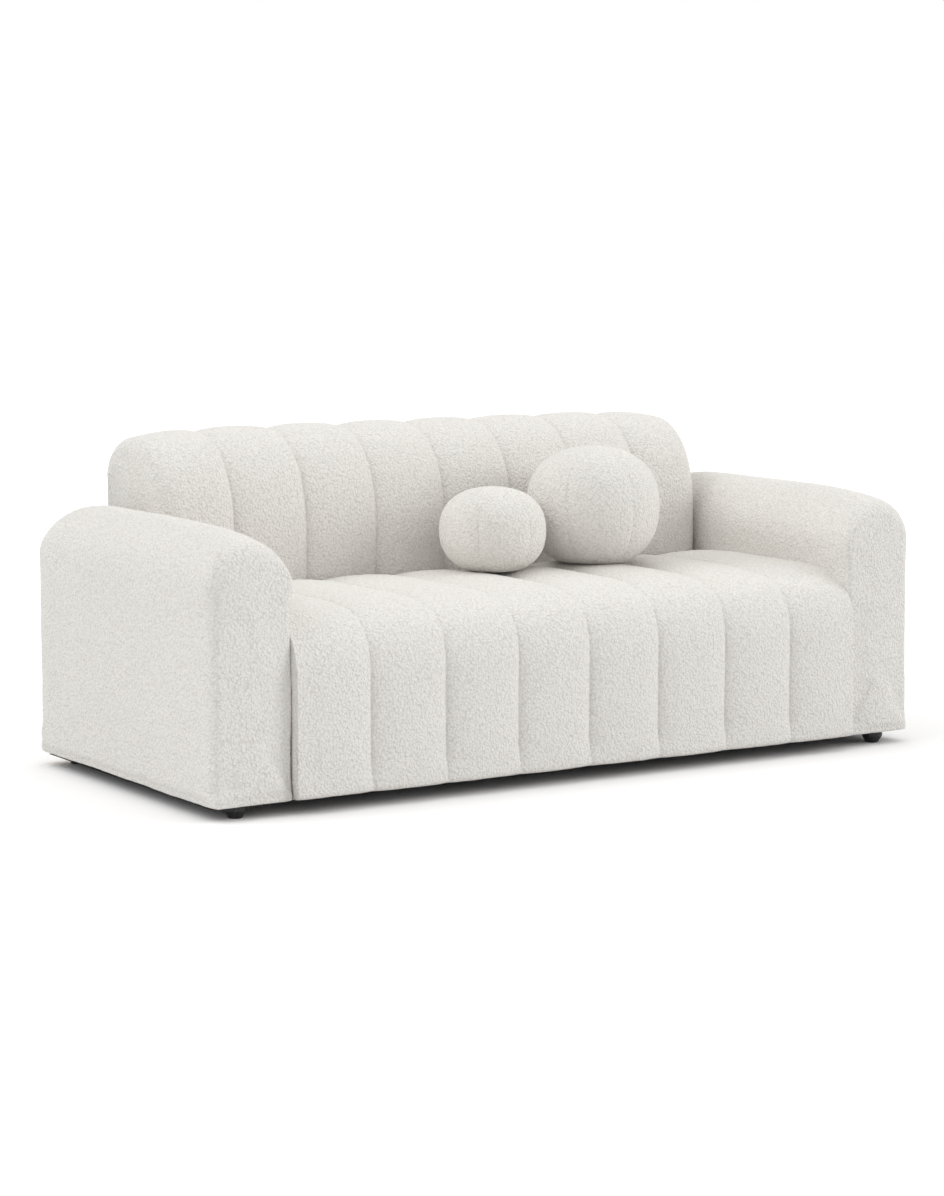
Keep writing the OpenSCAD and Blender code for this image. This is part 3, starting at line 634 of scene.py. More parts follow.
def mesh_object(name: str, points: Array, faces: list[tuple[int, ...]],
                edges: Sequence[tuple[int, int]] = ()) -> Piece:
    """Makes a smooth-shaded mesh object from points and faces.

    Args:
        name: the object's name.
        points: positions, one per row, in metres.
        faces: indices of each face, anticlockwise from outside.
        edges: loose edges, for a path.

    Returns:
        The new object, in the scene.
    """
    mesh = bpy.data.meshes.new(name)
    mesh.from_pydata(points.tolist(), list(edges), faces)
    mesh.validate()
    mesh.update()
    return add_object(name, mesh)


def shade(piece: Piece, smooth: bool = True) -> None:
    """Shades every face of a piece smooth or flat."""
    piece.data.polygons.foreach_set("use_smooth", [smooth] * len(piece.data.polygons))


def bake(piece: Piece) -> None:
    """Turns a piece's live modifiers into its plain mesh.

    Args:
        piece: the piece.
    """
    graph = bpy.context.evaluated_depsgraph_get()
    mesh = bpy.data.meshes.new_from_object(piece.evaluated_get(graph), depsgraph=graph)
    piece.modifiers.clear()
    old = piece.data
    piece.data = mesh
    bpy.data.meshes.remove(old)
    mesh.name = piece.name
    shade(piece)


def closed_tube(name: str, loops: Sequence[Array], pulls: Array | None = None) -> Piece:
    """A closed skin through loops, with flat faces over its two ends and its normals outwards.

    Args:
        name: the object's name.
        loops: points of each loop, the same number for all.
        pulls: which way each point moves where a seam pulls it in, loop by loop.

    Returns:
        The new object.
    """
    rows, columns = len(loops), len(loops[0])
    faces: list[tuple[int, ...]] = []
    for i in range(rows - 1):
        for j in range(columns):
            here, after = i * columns + j, i * columns + (j + 1) % columns
            faces.append((here, after, after + columns, here + columns))
    faces.append(tuple(range(columns - 1, -1, -1)))
    faces.append(tuple(range((rows - 1) * columns, rows * columns)))
    made = mesh_object(name, np.vstack(loops), faces)
    if pulls is not None:
        layer = made.data.attributes.new("pull", "FLOAT_VECTOR", "POINT")
        layer.data.foreach_set("vector", pulls.ravel())
    work = bmesh.new()
    work.from_mesh(made.data)
    bmesh.ops.remove_doubles(work, verts=work.verts, dist=1e-5)
    bmesh.ops.recalc_face_normals(work, faces=work.faces)
    work.to_mesh(made.data)
    work.free()
    made.data.update()
    return made


def join_parts(name: str, parts: Sequence[Piece]) -> Piece:
    """Joins several meshes into one piece.

    Args:
        name: the piece's name.
        parts: the objects, which are removed.

    Returns:
        The joined piece.
    """
    work = bmesh.new()
    for part in parts:
        work.from_mesh(part.data)
        bpy.data.objects.remove(part)
    mesh = bpy.data.meshes.new(name)
    work.to_mesh(mesh)
    work.free()
    return add_object(name, mesh)


def read_points(piece: Piece) -> tuple[Array, Array]:
    """Reads a piece's vertices.

    Args:
        piece: the piece.

    Returns:
        Their positions and their normals, one per row.
    """
    points, normals = (np.empty(len(piece.data.vertices) * 3) for _ in range(2))
    piece.data.vertices.foreach_get("co", points)
    piece.data.vertex_normals.foreach_get("vector", normals)
    return points.reshape(-1, 3), normals.reshape(-1, 3)


def write_points(piece: Piece, points: Array) -> None:
    """Sets the positions of a piece's vertices."""
    piece.data.vertices.foreach_set("co", points.ravel())
    piece.data.update()


def keep_above(piece: Piece, level: float) -> None:
    """Flattens what hangs below a level.

    Args:
        piece: the piece.
        level: height of the level.
    """
    points, _ = read_points(piece)
    points[:, 2] = np.maximum(points[:, 2], level)
    write_points(piece, points)


def settle_fabric(piece: Piece, seed: float, soft: float = 0.0016, fine: float = 0.0006) -> None:
    """Adds the slight unevenness of stuffed fabric to a piece.

    Args:
        piece: the piece.
        seed: picks the pattern.
        soft: height of the broad lumps.
        fine: height of the small lumps.
    """
    points, normals = read_points(piece)
    broad = smooth_lumps(points, BROAD_LUMPS_PER_M, seed)
    small = smooth_lumps(points, SMALL_LUMPS_PER_M, seed + SMALL_LUMPS_SEED)
    write_points(piece, points + normals * (soft * broad + fine * small)[:, None])


def give(piece: Piece, material: Material) -> None:
    """Makes a material the piece's only one."""
    piece.data.materials.clear()
    piece.data.materials.append(material)


def declare(piece: Piece, body: str, nodes: Sequence[str]) -> None:
    """Attaches a piece to the empty of its body and hides the CAD nodes that it stands for.

    Args:
        piece: the finished piece.
        body: the body that it moves with.
        nodes: the CAD nodes that it stands for.
    """
    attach(piece, body)
    if nodes:
        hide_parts(*nodes)


# The upholstered pieces


@dataclass(frozen=True)
class Stuffing:
    """Cloth simulation that swells a piece against the seams and hems that hold it."""

    voxel: float
    cap: float
    inset: float
    pressure: float = 4.0
    quality: int = 5
    frames: int = 20

    def remesh(self, piece: Piece) -> None:
        """Gives the piece an even mesh of the voxel's size, drawn in by the inset.

        Args:
            piece: a closed piece.
        """
        points, normals = read_points(piece)
        write_points(piece, points - normals * self.inset)
        modifier = piece.modifiers.new("even_mesh", "REMESH")
        modifier.mode = "VOXEL"
        modifier.voxel_size = self.voxel
        bake(piece)

    def simulate(self, piece: Piece, hold: Array) -> None:
        """Lets the stuffing press on the cover for all frames.

        Args:
            piece: the remeshed piece.
            hold: each point's hold from 0, free, to 1, fixed.
        """
        group = piece.vertex_groups.new(name="held")
        for index, weight in enumerate(hold):
            if weight > 0:
                group.add([index], float(weight), "REPLACE")
        modifier = piece.modifiers.new("cover", "CLOTH")
        settings = modifier.settings
        settings.use_pressure = True
        settings.uniform_pressure_force = self.pressure
        settings.vertex_group_mass = "held"
        settings.quality = self.quality
        settings.effector_weights.gravity = 0.0
        modifier.point_cache.frame_start = 1
        modifier.point_cache.frame_end = self.frames
        scene = bpy.context.scene
        for number in range(1, self.frames + 1):
            scene.frame_set(number)
        bake(piece)
        scene.frame_set(1)
        piece.vertex_groups.clear()

    def swell(self, piece: Piece, held: Callable[[Array], Array]) -> None:
        """Swells the piece's cover by at most the cap, then rounds its facets.

        Args:
            piece: a closed piece.
            held: gives each point's hold from 0, free, to 1, fixed.
        """
        self.remesh(piece)
        start, _ = read_points(piece)
        self.simulate(piece, held(start))
        moved = read_points(piece)[0] - start
        length = np.linalg.norm(moved, axis=1, keepdims=True)
        write_points(piece, start + moved * np.minimum(1.0, self.cap / np.maximum(length, 1e-9)))
        smooth = piece.modifiers.new("soft_surface", "SUBSURF")
        smooth.levels = smooth.render_levels = 1
        bake(piece)


@dataclass(frozen=True)
class Channels:
    """The channels that the seat and the back share, and the tree that sews their seams."""

    count: int = 8
    half_width: float = 0.7995
    seam_depth: float = 0.021
    roundness: float = 2.2
    seam_floor: float = 0.02
    columns_each: int = 44
    crowding: float = 0.11

    def columns(self) -> Array:
        """Sets the mesh's columns closer together at the seams.

        Returns:
            Their places across the sofa.
        """
        even = np.linspace(0, 1, self.columns_each + 1)
        shares = even - self.crowding * np.sin(2 * np.pi * even)
        width = 2 * self.half_width / self.count
        places = [-self.half_width + (c + s) * width for c in range(self.count) for s in shares[:-1]]
        return np.array(places + [self.half_width])

    def inside(self, xs: Array, run: float) -> Array:
        """Share, from 0 at either end of the channels to 1 beyond a run from it, at each place."""
        return np.clip((self.half_width - np.abs(xs)) / run, 0, 1)

    def quilt(self, name: str, xs: Array, rings: Sequence[Array], material: Material) -> Piece:
        """Makes a padded form through rings and draws the seams into it along its points' pulls.

        Args:
            name: the piece's name.
            xs: place of each ring across the sofa.
            rings: rows of Y, Z, pull along Y and pull along Z for each ring.
            material: its fabric.

        Returns:
            The sewn piece.
        """
        loops = [stack(x, ring[:, 0], ring[:, 1]) for x, ring in zip(xs, rings)]
        pulls = np.array([stack(0.0, ring[:, 2], ring[:, 3]) for ring in rings])
        piece = closed_tube(name, loops, pulls)
        jig = Jig(f"{name}_channels", {
            "Channels": self.count, "Half Width": self.half_width,
            "Seam Depth": self.seam_depth, "Roundness": self.roundness, "Seam Floor": self.seam_floor})
        size = jig.inputs
        across = jig.place()[0]
        share = ((across + size["Half Width"]) * size["Channels"] / (size["Half Width"] * 2)).fraction()
        dip = jig.dip(share, size["Seam Floor"])
        pull = jig.node("GeometryNodeInputNamedAttribute", {"data_type": "FLOAT_VECTOR"}, {"Name": "pull"})[0]
        jig.shift(jig.vector("SCALE", {0: pull, "Scale": dip * size["Seam Depth"]}))
        jig.run(piece, material)
        return piece


@dataclass(frozen=True)
class ArmPress:
    """Way in which the arms' fronts press against the seat and swell a little over it."""

    inward: float = 0.012
    bulge: float = 0.007
    level_z: float = 0.530
    level_half: float = 0.060
    ends_at_y: float = 0.120
    fade: float = 0.140
    rear_inward: float = 0.003
    rear_run: float = 0.080
    rear_fade: float = 0.060

    def depth(self, points: Array) -> Array:
        """How far the inner side lies beyond its straight face.

        Args:
            points: positions, one per row.

        Returns:
            The distance towards the middle of the sofa for each point.
        """
        along = np.clip((self.ends_at_y - points[:, 1]) / self.fade, 0, 1)
        level = np.exp(-((points[:, 2] - self.level_z) / self.level_half) ** 2)
        return along * (self.inward + self.bulge * level)

    def rear_depth(self, points: Array, rear_y: float) -> Array:
        """How far the inner side lies against the rear panel at each point."""
        return np.clip((points[:, 1] - rear_y + self.rear_run) / self.rear_fade, 0, 1) * self.rear_inward


@dataclass
class Seat:
    """The channelled seat: one quilt over the rounded front edge, from its hem to the back."""

    channels: Channels
    low: Vector
    high: Vector
    press: ArmPress
    nose_run: float = 0.300
    nose_rise: float = 0.220
    nose_power: float = 3.3
    nose_ease: float = 0.35
    nose_steps: int = 160
    fall: float = 0.020
    fall_power: float = 3.0
    fall_share: float = 0.25
    flat_steps: int = 30
    hem_r: float = 0.010
    hem_pull: float = 0.45
    hem_fade: float = 0.060
    end_pull: float = 0.40
    end_fade: float = 0.040
    squeeze_run: float = 0.060
    squeeze_slack: float = 0.007
    clearance: float = 0.0004
    rows: int = 150
    under_rows: int = 24

    def skin(self, hem_pull: float) -> Array:
        """Outline over the crowns, with the way in which a seam pulls each point.

        Args:
            hem_pull: share of the seam's depth at the hem.

        Returns:
            Rows of Y, Z, pull along Y and pull along Z, from the front hem to the rear.
        """
        low, high = self.low, self.high
        nose_y, nose_z = low.y + self.nose_run, high.z - self.nose_rise
        inset, height = hem_round(self.hem_r)
        hem = stack(low.y + inset, low.z + height, hem_pull, 0.0)
        wall_z = np.linspace(low.z + self.hem_r, nose_z, self.flat_steps)[1:-1]
        rise = np.clip((wall_z - low.z - self.hem_r) / self.hem_fade, 0, 1)
        wall = stack(low.y, wall_z, hem_pull + (1 - hem_pull) * rise * rise * (3 - 2 * rise), 0.0)
        cosine, sine = superquarter(self.nose_power, self.nose_steps)
        shallow = 1 - self.nose_ease * 4 * cosine ** 2 * sine ** 2
        nose = stack(nose_y - self.nose_run * cosine, nose_z + self.nose_rise * sine,
                     shallow * cosine, -shallow * sine)
        fall_y = nose_y + self.fall_share * (high.y - nose_y)
        share = np.linspace(0, 1, self.flat_steps)
        top_z = high.z - self.fall * share ** self.fall_power
        top = stack(fall_y + share * (high.y - fall_y), top_z, 0.0, -1.0)
        return resample(np.vstack([hem, wall, nose, top]), self.rows)

    def build(self, material: Material) -> Piece:
        """Builds the seat's upholstery.

        Args:
            material: its fabric.

        Returns:
            The finished piece.
        """
        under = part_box("seat_foam")[0].z
        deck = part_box("seat_felt")[1].z + self.clearance
        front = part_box("base_front_rail")[0].y - self.clearance
        corners = np.array([[self.high.y, deck], [front, deck], [front, under]])
        below = np.pad(resample(corners, self.under_rows), ((0, 0), (0, 2)))
        ring = np.vstack([self.skin(self.hem_pull), below])
        end_pulls = np.vstack([self.skin(1.0), below])[:, 2:] * self.end_pull
        xs = self.channels.columns()
        rings = [np.hstack([ring[:, :2], ring[:, 2:] * share + end_pulls * (1 - share)])
                 for share in self.channels.inside(xs, self.end_fade)]
        piece = self.channels.quilt("seat_upholstery", xs, rings, material)
        points, _ = read_points(piece)
        near_end = 1 - self.channels.inside(points[:, 0], self.squeeze_run)
        squeeze = np.maximum(self.press.depth(points) - self.squeeze_slack, 0)
        points[:, 0] -= np.sign(points[:, 0]) * near_end * squeeze
        write_points(piece, points)
        settle_fabric(piece, 3.1)
        declare(piece, ROOT, ["seat_cover", "seat_foam"])
        return piece


@dataclass
class Back:
    """The channelled back: one quilt up the front and over the top, with plain ends and a rear panel."""

    channels: Channels
    low: Vector
    high: Vector
    run: float = 0.203
    rise: float = 0.262
    power: float = 2.2
    front_steps: int = 90
    rear_drop: float = 0.070
    rear_steps: int = 50
    corner_r: float = 0.030
    edge_r: float = 0.062
    end_run: float = 0.250
    end_drop: float = 0.020
    end_turn_deg: float = 80.0
    end_steps: int = 14
    top_dip_share: float = 0.7
    tuck: float = 0.002
    rows: int = 170
    panel_t: float = 0.0045
    panel_gap: float = 0.0008
    panel_edge: float = 0.0015
    panel_lift: float = 0.0003
    panel_power: float = 0.4
    panel_columns: int = 240
    panel_rows: int = 110

    def top_drop(self, end: float) -> float:
        """Drop of the top at a distance from the nearer end."""
        return round_drop(self.corner_r, end) + self.end_drop * max(0.0, 1 - end / self.end_run) ** 2

    def outline(self, end: float) -> Array:
        """Outline over the crowns, with the way in which a seam pulls each point.

        Args:
            end: distance from the nearer end of the back.

        Returns:
            Rows of Y, Z, pull along Y and pull along Z, from the front's foot over the top to the rear's.
        """
        run = self.run - round_drop(self.edge_r, end)
        rise = self.rise - self.top_drop(end)
        mid_y, mid_z = self.low.y + self.run, self.high.z - self.rise
        foot = stack(mid_y - run, self.low.z, 1.0, 0.0)
        cosine, sine = superquarter(self.power, self.front_steps)
        share = 1 - (1 - self.top_dip_share) * np.sin(quarter(self.front_steps))
        front = stack(mid_y - run * cosine, mid_z + rise * sine, cosine * share, -sine * share)
        angles = quarter(self.rear_steps)[1:]
        rear = stack(mid_y + (self.high.y - mid_y) * np.sin(angles),
                     mid_z + rise - self.rear_drop * (1 - np.cos(angles)),
                     0.0, -self.top_dip_share * np.cos(angles))
        ends = np.array([rear[-1, 1] - self.tuck, self.low.z])
        tail = stack(self.high.y - self.panel_t, ends, 0.0, 0.0)
        return resample(np.vstack([foot, front, rear, tail]), self.rows)

    def hem_z(self, xs: Array) -> Array:
        """Height of the seam between the quilt and the rear panel at each place across."""
        half = self.channels.half_width
        return np.array([self.high.z - self.rear_drop - self.top_drop(half - abs(x)) for x in xs])

    def build(self, material: Material) -> Piece:
        """Builds the back's upholstery.

        Args:
            material: its fabric.

        Returns:
            The finished piece.
        """
        half = self.channels.half_width
        turn = np.radians(np.linspace(0, self.end_turn_deg, self.end_steps))
        near = half - self.edge_r * (1 - np.cos(turn))
        inner = self.channels.columns()
        xs = np.sort(np.r_[inner[np.abs(inner) < half - self.edge_r], near, -near])
        rings = [self.outline(half - abs(x)) for x in xs]
        for ring, share in zip(rings, self.channels.inside(xs, self.edge_r)):
            ring[:, 2:] *= share
        piece = self.channels.quilt("back_upholstery", xs, rings, material)
        settle_fabric(piece, 7.7)
        declare(piece, ROOT,
                ["back_cover", "back_foam", "back_left_end_cover", "back_right_end_cover"])
        return piece

    def build_rear(self, material: Material) -> Piece:
        """Builds the plain cover over the back's rear, stretched over its wadding.

        Args:
            material: its fabric.

        Returns:
            The finished piece.
        """
        low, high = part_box("back_rear_cover")
        xs = np.linspace(low.x, high.x, self.panel_columns)
        tops = self.hem_z(xs) - self.panel_gap
        sides = np.sin(np.pi * np.linspace(0, 1, self.panel_columns)) ** self.panel_power
        up = np.linspace(0, 1, self.panel_rows)
        swell = np.sin(np.pi * up) ** self.panel_power
        inner = np.full(self.panel_rows, high.y - self.panel_t + self.panel_lift)
        loops = []
        for x, top, side in zip(xs, tops, sides):
            z = low.z + up * (top - low.z)
            outer = high.y - self.panel_edge + self.panel_t * swell * side
            loops.append(stack(x, np.r_[outer, inner], np.r_[z, z[::-1]]))
        piece = closed_tube("back_rear_panel", loops)
        settle_fabric(piece, 21.4, 0.0009, 0.0003)
        give(piece, material)
        declare(piece, ROOT, ["back_rear_cover"])
        return piece


@dataclass
class Arm:
    """One plain arm with an arched top, soft edges and long falls towards its ends."""

    side: Side
    low: Vector
    high: Vector
    stuffing: Stuffing
    press: ArmPress
    straight_z: float = 0.520
    edge_r: float = 0.036
    inner_share: float = 0.22
    rear_inner_share: float = 0.05
    hem_share: float = 0.35
    rear_share: float = 0.6
    front_run: float = 0.305
    front_drop: float = 0.034
    rear_run: float = 0.200
    rear_drop: float = 0.056
    end_power: float = 1.8
    hem_r: float = 0.008
    hem_hold: float = 0.020
    end_steps: int = 16
    middle_steps: int = 90
    side_steps: int = 40
    arch_steps: int = 30
    fall_steps: int = 400
    fall_blur: int = 20

    def __post_init__(self) -> None:
        """Works out the arm's middle, half its width and its length."""
        self.mid_x = (self.low.x + self.high.x) / 2
        self.half = (self.high.x - self.low.x) / 2
        self.length = self.high.y - self.low.y

    def fall(self, run: float, drop: float, reach: Array) -> Array:
        """Drop of the crown's line at a reach from an end, by the fall's length and its whole drop."""
        left = np.clip(1 - reach / run, 0, 1)
        return drop * (1 - (1 - left ** self.end_power) ** (1 / self.end_power))

    def crown_drop(self, reach: Array) -> Array:
        """Drop of the crown's line along the arm, rounded where a fall begins.

        Args:
            reach: distances from the front.

        Returns:
            The drop at each distance.
        """
        fine = np.linspace(0, self.length, self.fall_steps)
        drop = (self.fall(self.front_run, self.front_drop, fine)
                + self.fall(self.rear_run, self.rear_drop, self.length - fine))
        window = 2 * self.fall_blur + 1
        padded = np.pad(drop, self.fall_blur, mode="reflect", reflect_type="odd")
        return np.interp(reach, fine, np.convolve(padded, np.ones(window) / window, mode="valid"))

    def section(self, reach: float, drop: float) -> Array:
        """Closed outline across the arm, whose upright edges sharpen towards the hem.

        Args:
            reach: distance from the front.
            drop: drop of the crown's line there.

        Returns:
            Points from the hem on one side over the crown to the other hem.
        """
        front, rear = round_drop(self.edge_r, reach), round_drop(self.edge_r, self.length - reach)
        insets = {self.side.value: max(front, self.rear_share * rear),
                  -self.side.value: max(self.inner_share * front, self.rear_inner_share * rear)}
        low_z = self.low.z
        hem_inset, hem_rise = hem_round(self.hem_r)
        wall_z = np.linspace(low_z + self.hem_r, self.straight_z, self.side_steps)[1:]
        soft = self.hem_share + (1 - self.hem_share) * (wall_z - low_z) / (self.straight_z - low_z)
        arch = quarter(self.arch_steps)[1:]
        rise = self.high.z - max(front, rear) - drop - self.straight_z
        z = np.r_[low_z + hem_rise, wall_z, self.straight_z + rise * np.sin(arch)]
        sides = []
        for sx in (1, -1):
            wall = self.half - insets[sx] * soft
            x = np.r_[wall[0] - hem_inset, wall, (self.half - insets[sx]) * np.cos(arch)]
            sides.append(stack(self.mid_x + sx * x, self.low.y + reach, z))
        return np.vstack([sides[0], sides[1][::-1][1:]])

    def loops(self) -> list[Array]:
        """Sections along the arm, closer together at its ends.

        Returns:
            Its outlines from the front to the rear.
        """
        near = self.edge_r * (1 - np.cos(quarter(self.end_steps)))
        middle = np.linspace(self.edge_r, self.length - self.edge_r, self.middle_steps)[1:-1]
        reach = np.r_[near, middle, (self.length - near)[::-1]]
        return [self.section(e, drop) for e, drop in zip(reach, self.crown_drop(reach))]

    def pressed(self, points: Array) -> Array:
        """Presses the inner side against the seat and the rear panel, and lets it swell over the seat.

        Args:
            points: positions, one per row.

        Returns:
            The moved positions.
        """
        inward = np.clip(-self.side.value * (points[:, 0] - self.mid_x) / self.half, 0, 1)
        shift = self.press.depth(points) + self.press.rear_depth(points, self.high.y)
        moved = points.copy()
        moved[:, 0] -= self.side.value * inward * shift
        return moved

    def held(self, points: Array) -> Array:
        """Hold of the arm's cover, which its hem keeps in place."""
        return (points[:, 2] < self.low.z + self.hem_hold).astype(float)

    def build(self, material: Material) -> Piece:
        """Builds the arm's upholstery.

        Args:
            material: its fabric.

        Returns:
            The finished piece.
        """
        word = self.side.word
        piece = closed_tube(f"{word}_arm_upholstery", self.loops())
        write_points(piece, self.pressed(read_points(piece)[0]))
        self.stuffing.swell(piece, self.held)
        settle_fabric(piece, 11.3 + self.side.value, 0.0020)
        keep_above(piece, self.low.z)
        give(piece, material)
        declare(piece, ROOT, [f"{word}_arm_cover", f"{word}_arm_foam"])
        return piece


@dataclass
class BallPillow:
    """One loose ball pillow: a gored cover over a soft filling, flattened where it rests."""

    name: str
    turn: float
    stuffing: Stuffing
    gores: int = 6
    power: float = 2.3
    foot_angle: float = -62.0
    top_angle: float = 89.5
    seam_depth: float = 0.005
    seam_roundness: float = 5.0
    seam_hold: float = 0.6
    seam_share: float = 0.10
    foot_hold: float = 0.012
    top_hold: float = 0.02
    sides: int = 240
    rings: int = 110

    def __post_init__(self) -> None:
        """Reads the pillow's place from its CAD cover."""
        self.low, self.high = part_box(f"{self.name}_cover")
        self.mid = (self.low + self.high) / 2
        self.radius = max(self.high.x - self.low.x, self.high.y - self.low.y) / 2

    def lift(self, angle: float) -> float:
        """Height share at a polar angle in degrees."""
        sine = math.sin(math.radians(angle))
        return math.copysign(abs(sine) ** (2 / self.power), sine)

    def form(self) -> Piece:
        """Makes the plain squashed ball.

        Returns:
            The ball, with no seams yet.
        """
        height = self.high.z - self.low.z
        base = self.lift(self.foot_angle)
        around = np.radians(np.arange(self.sides) * 360 / self.sides)
        loops = []
        for angle in np.linspace(self.foot_angle, self.top_angle, self.rings):
            r = self.radius * math.cos(math.radians(angle)) ** (2 / self.power)
            z = self.low.z + height * (self.lift(angle) - base) / (1 - base)
            loops.append(stack(self.mid.x + r * np.cos(around), self.mid.y + r * np.sin(around), z))
        return closed_tube(f"{self.name}_pillow", loops)

    def held(self, points: Array) -> Array:
        """Hold of the pillow's cover: fixed at its foot and its top, firm along its seams.

        Args:
            points: positions, one per row.

        Returns:
            The hold of each point from 0, free, to 1, fixed.
        """
        out_x, out_y = points[:, 0] - self.mid.x, points[:, 1] - self.mid.y
        share = ((np.degrees(np.arctan2(out_y, out_x)) - self.turn) * self.gores / 360) % 1.0
        off_seam = 1 - np.abs(2 * share - 1)
        seam = np.clip(1 - off_seam / self.seam_share, 0, 1) * self.seam_hold
        foot = points[:, 2] < self.low.z + self.foot_hold
        top = (np.hypot(out_x, out_y) < self.top_hold) & (points[:, 2] > self.mid.z)
        return np.where(foot | top, 1.0, seam)

    def sew(self, piece: Piece, material: Material) -> None:
        """Draws the seams between the gores into the cover.

        Args:
            piece: the swollen cover.
            material: its fabric.
        """
        jig = Jig(f"{self.name}_gores", {
            "Middle X": self.mid.x, "Middle Y": self.mid.y, "Radius": self.radius,
            "First Seam": math.radians(self.turn), "Gores": self.gores,
            "Seam Depth": self.seam_depth, "Roundness": self.seam_roundness})
        size = jig.inputs
        x, y, _ = jig.place()
        out_x, out_y = x - size["Middle X"], y - size["Middle Y"]
        turned = (out_y.angle(out_x) - size["First Seam"]) * size["Gores"] / (2 * math.pi)
        scale = jig.dip((turned + self.gores).fraction(), 0.0) * size["Seam Depth"] / size["Radius"]
        jig.shift(jig.joined(out_x * scale * -1, out_y * scale * -1, 0.0))
        jig.run(piece, material)

    def build(self, material: Material) -> Piece:
        """Builds the pillow.

        Args:
            material: its fabric.

        Returns:
            The finished piece.
        """
        piece = self.form()
        self.stuffing.swell(piece, self.held)
        keep_above(piece, self.low.z)
        self.sew(piece, material)
        settle_fabric(piece, 17.9 + self.turn, 0.0022, 0.0005)
        declare(piece, self.name, [f"{self.name}_cover", f"{self.name}_filling"])
        return piece


# Pads, linings and straps on the frame


@dataclass
class ThinPiece:
    """A thin pad or lining that fills a CAD node's box, with slightly waved faces."""

    name: str
    node: str
    slot: Slot
    flat_axis: int
    wave: float
    inset: Triple = (0.0, 0.0, 0.0)
    sink: float = 0.0
    waves_per_m: float = 7.0
    wave_seed: float = 4.2
    columns: int = 120
    rows: int = 60

    def __post_init__(self) -> None:
        """Reads the piece's place from its CAD node."""
        low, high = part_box(self.node)
        self.low = low + Vector(self.inset) - Vector((0, 0, self.sink))
        self.high = high - Vector(self.inset) - Vector((0, 0, self.sink))

    def build(self, material: Material) -> Piece:
        """Builds the piece as a closed slab across X.

        Args:
            material: its finish.

        Returns:
            The finished piece.
        """
        thin, long = (1, 2) if self.flat_axis == 1 else (2, 1)
        run = np.linspace(self.low[long], self.high[long], self.rows)
        loops = []
        for x in np.linspace(self.low.x, self.high.x, self.columns):
            spots = [Vector((x * self.waves_per_m, v * self.waves_per_m, self.wave_seed)) for v in run]
            wave = self.wave * np.array([noise.noise(spot) for spot in spots])
            loop = np.zeros((2 * self.rows, 3))
            loop[:, 0] = x
            loop[:, long] = np.r_[run, run[::-1]]
            loop[:, thin] = np.r_[self.high[thin] - self.wave + wave, self.low[thin] + self.wave + wave[::-1]]
            loops.append(loop)
        piece = closed_tube(self.name, loops)
        give(piece, material)
        declare(piece, ROOT, [self.node])
        return piece


@dataclass
class Lining:
    """The black dust covers under the sofa."""

    foot_hole: float = 0.0532
    hole_sides: int = 48
    hole_reach: float = 0.02
    side_gap: float = 0.0112
    wave: float = 0.00012
    sink: float = 0.0021

    def punch(self, piece: Piece, spots: Sequence[Vector]) -> None:
        """Cuts the holes in which the feet sit into a lining.

        Args:
            piece: the lining.
            spots: middle of each foot.
        """
        around = np.radians(np.arange(self.hole_sides) * 360 / self.hole_sides)
        radius = self.foot_hole / 2
        for spot in spots:
            cutter = closed_tube("foot_cutter", [
                stack(spot.x + radius * np.cos(around), spot.y + radius * np.sin(around), spot.z + dz)
                for dz in (-self.hole_reach, self.hole_reach)])
            modifier = piece.modifiers.new("foot_hole", "BOOLEAN")
            modifier.operation = "DIFFERENCE"
            modifier.solver = "EXACT"
            modifier.object = cutter
            bake(piece)
            bpy.data.objects.remove(cutter)

    def build(self, material: Material) -> list[Piece]:
        """Builds the three dust covers.

        Args:
            material: their cloth.

        Returns:
            The finished pieces.
        """
        base = ThinPiece("base_dust_lining", "base_dust_cover", Slot.DUST_CLOTH, 2, self.wave)
        piece = base.build(material)
        made = [piece]
        for side in Side:
            word = side.word
            arm = ThinPiece(
                f"{word}_arm_dust_lining", f"{word}_arm_dust_cover", Slot.DUST_CLOTH, 2, self.wave,
                inset=(self.side_gap, 0.0, 0.0), sink=self.sink, columns=24, rows=90)
            piece = arm.build(material)
            feet = [sum(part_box(f"{end}_{word}_foot"), Vector()) / 2 for end in ("front", "rear")]
            self.punch(piece, [Vector((f.x, f.y, arm.high.z)) for f in feet])
            give(piece, material)
            made.append(piece)
        return made


@dataclass
class Webbing:
    """The jute straps across the back's frame."""

    count: int = 4
    width: float = 0.050
    columns: int = 160
    ripple: float = 0.0003
    ripples_per_m: float = 900.0
    fray: float = 0.0004
    frays_per_m: float = 40.0
    clearance: float = 0.0001

    def build(self, material: Material) -> Piece:
        """Builds the straps as one piece.

        Args:
            material: their weave.

        Returns:
            The finished piece.
        """
        low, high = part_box("back_straps")
        step = (high.z - low.z - self.width) / (self.count - 1)
        parts = []
        for index in range(self.count):
            foot = low.z + index * step
            loops = []
            for x in np.linspace(low.x, -low.x, self.columns):
                front = low.y + self.ripple + self.ripple * math.sin(x * self.ripples_per_m) * 0.5
                rear = high.y - self.clearance
                edge = self.fray * noise.noise(Vector((x * self.frays_per_m, index, 0)))
                under, over = foot + edge, foot + self.width + edge
                corners = [[x, front, under], [x, rear, under], [x, rear, over], [x, front, over]]
                loops.append(np.array(corners))
            parts.append(closed_tube(f"strap_{index}", loops))
        piece = join_parts("back_webbing", parts)
        give(piece, material)
        declare(piece, ROOT, ["back_straps"])
        return piece


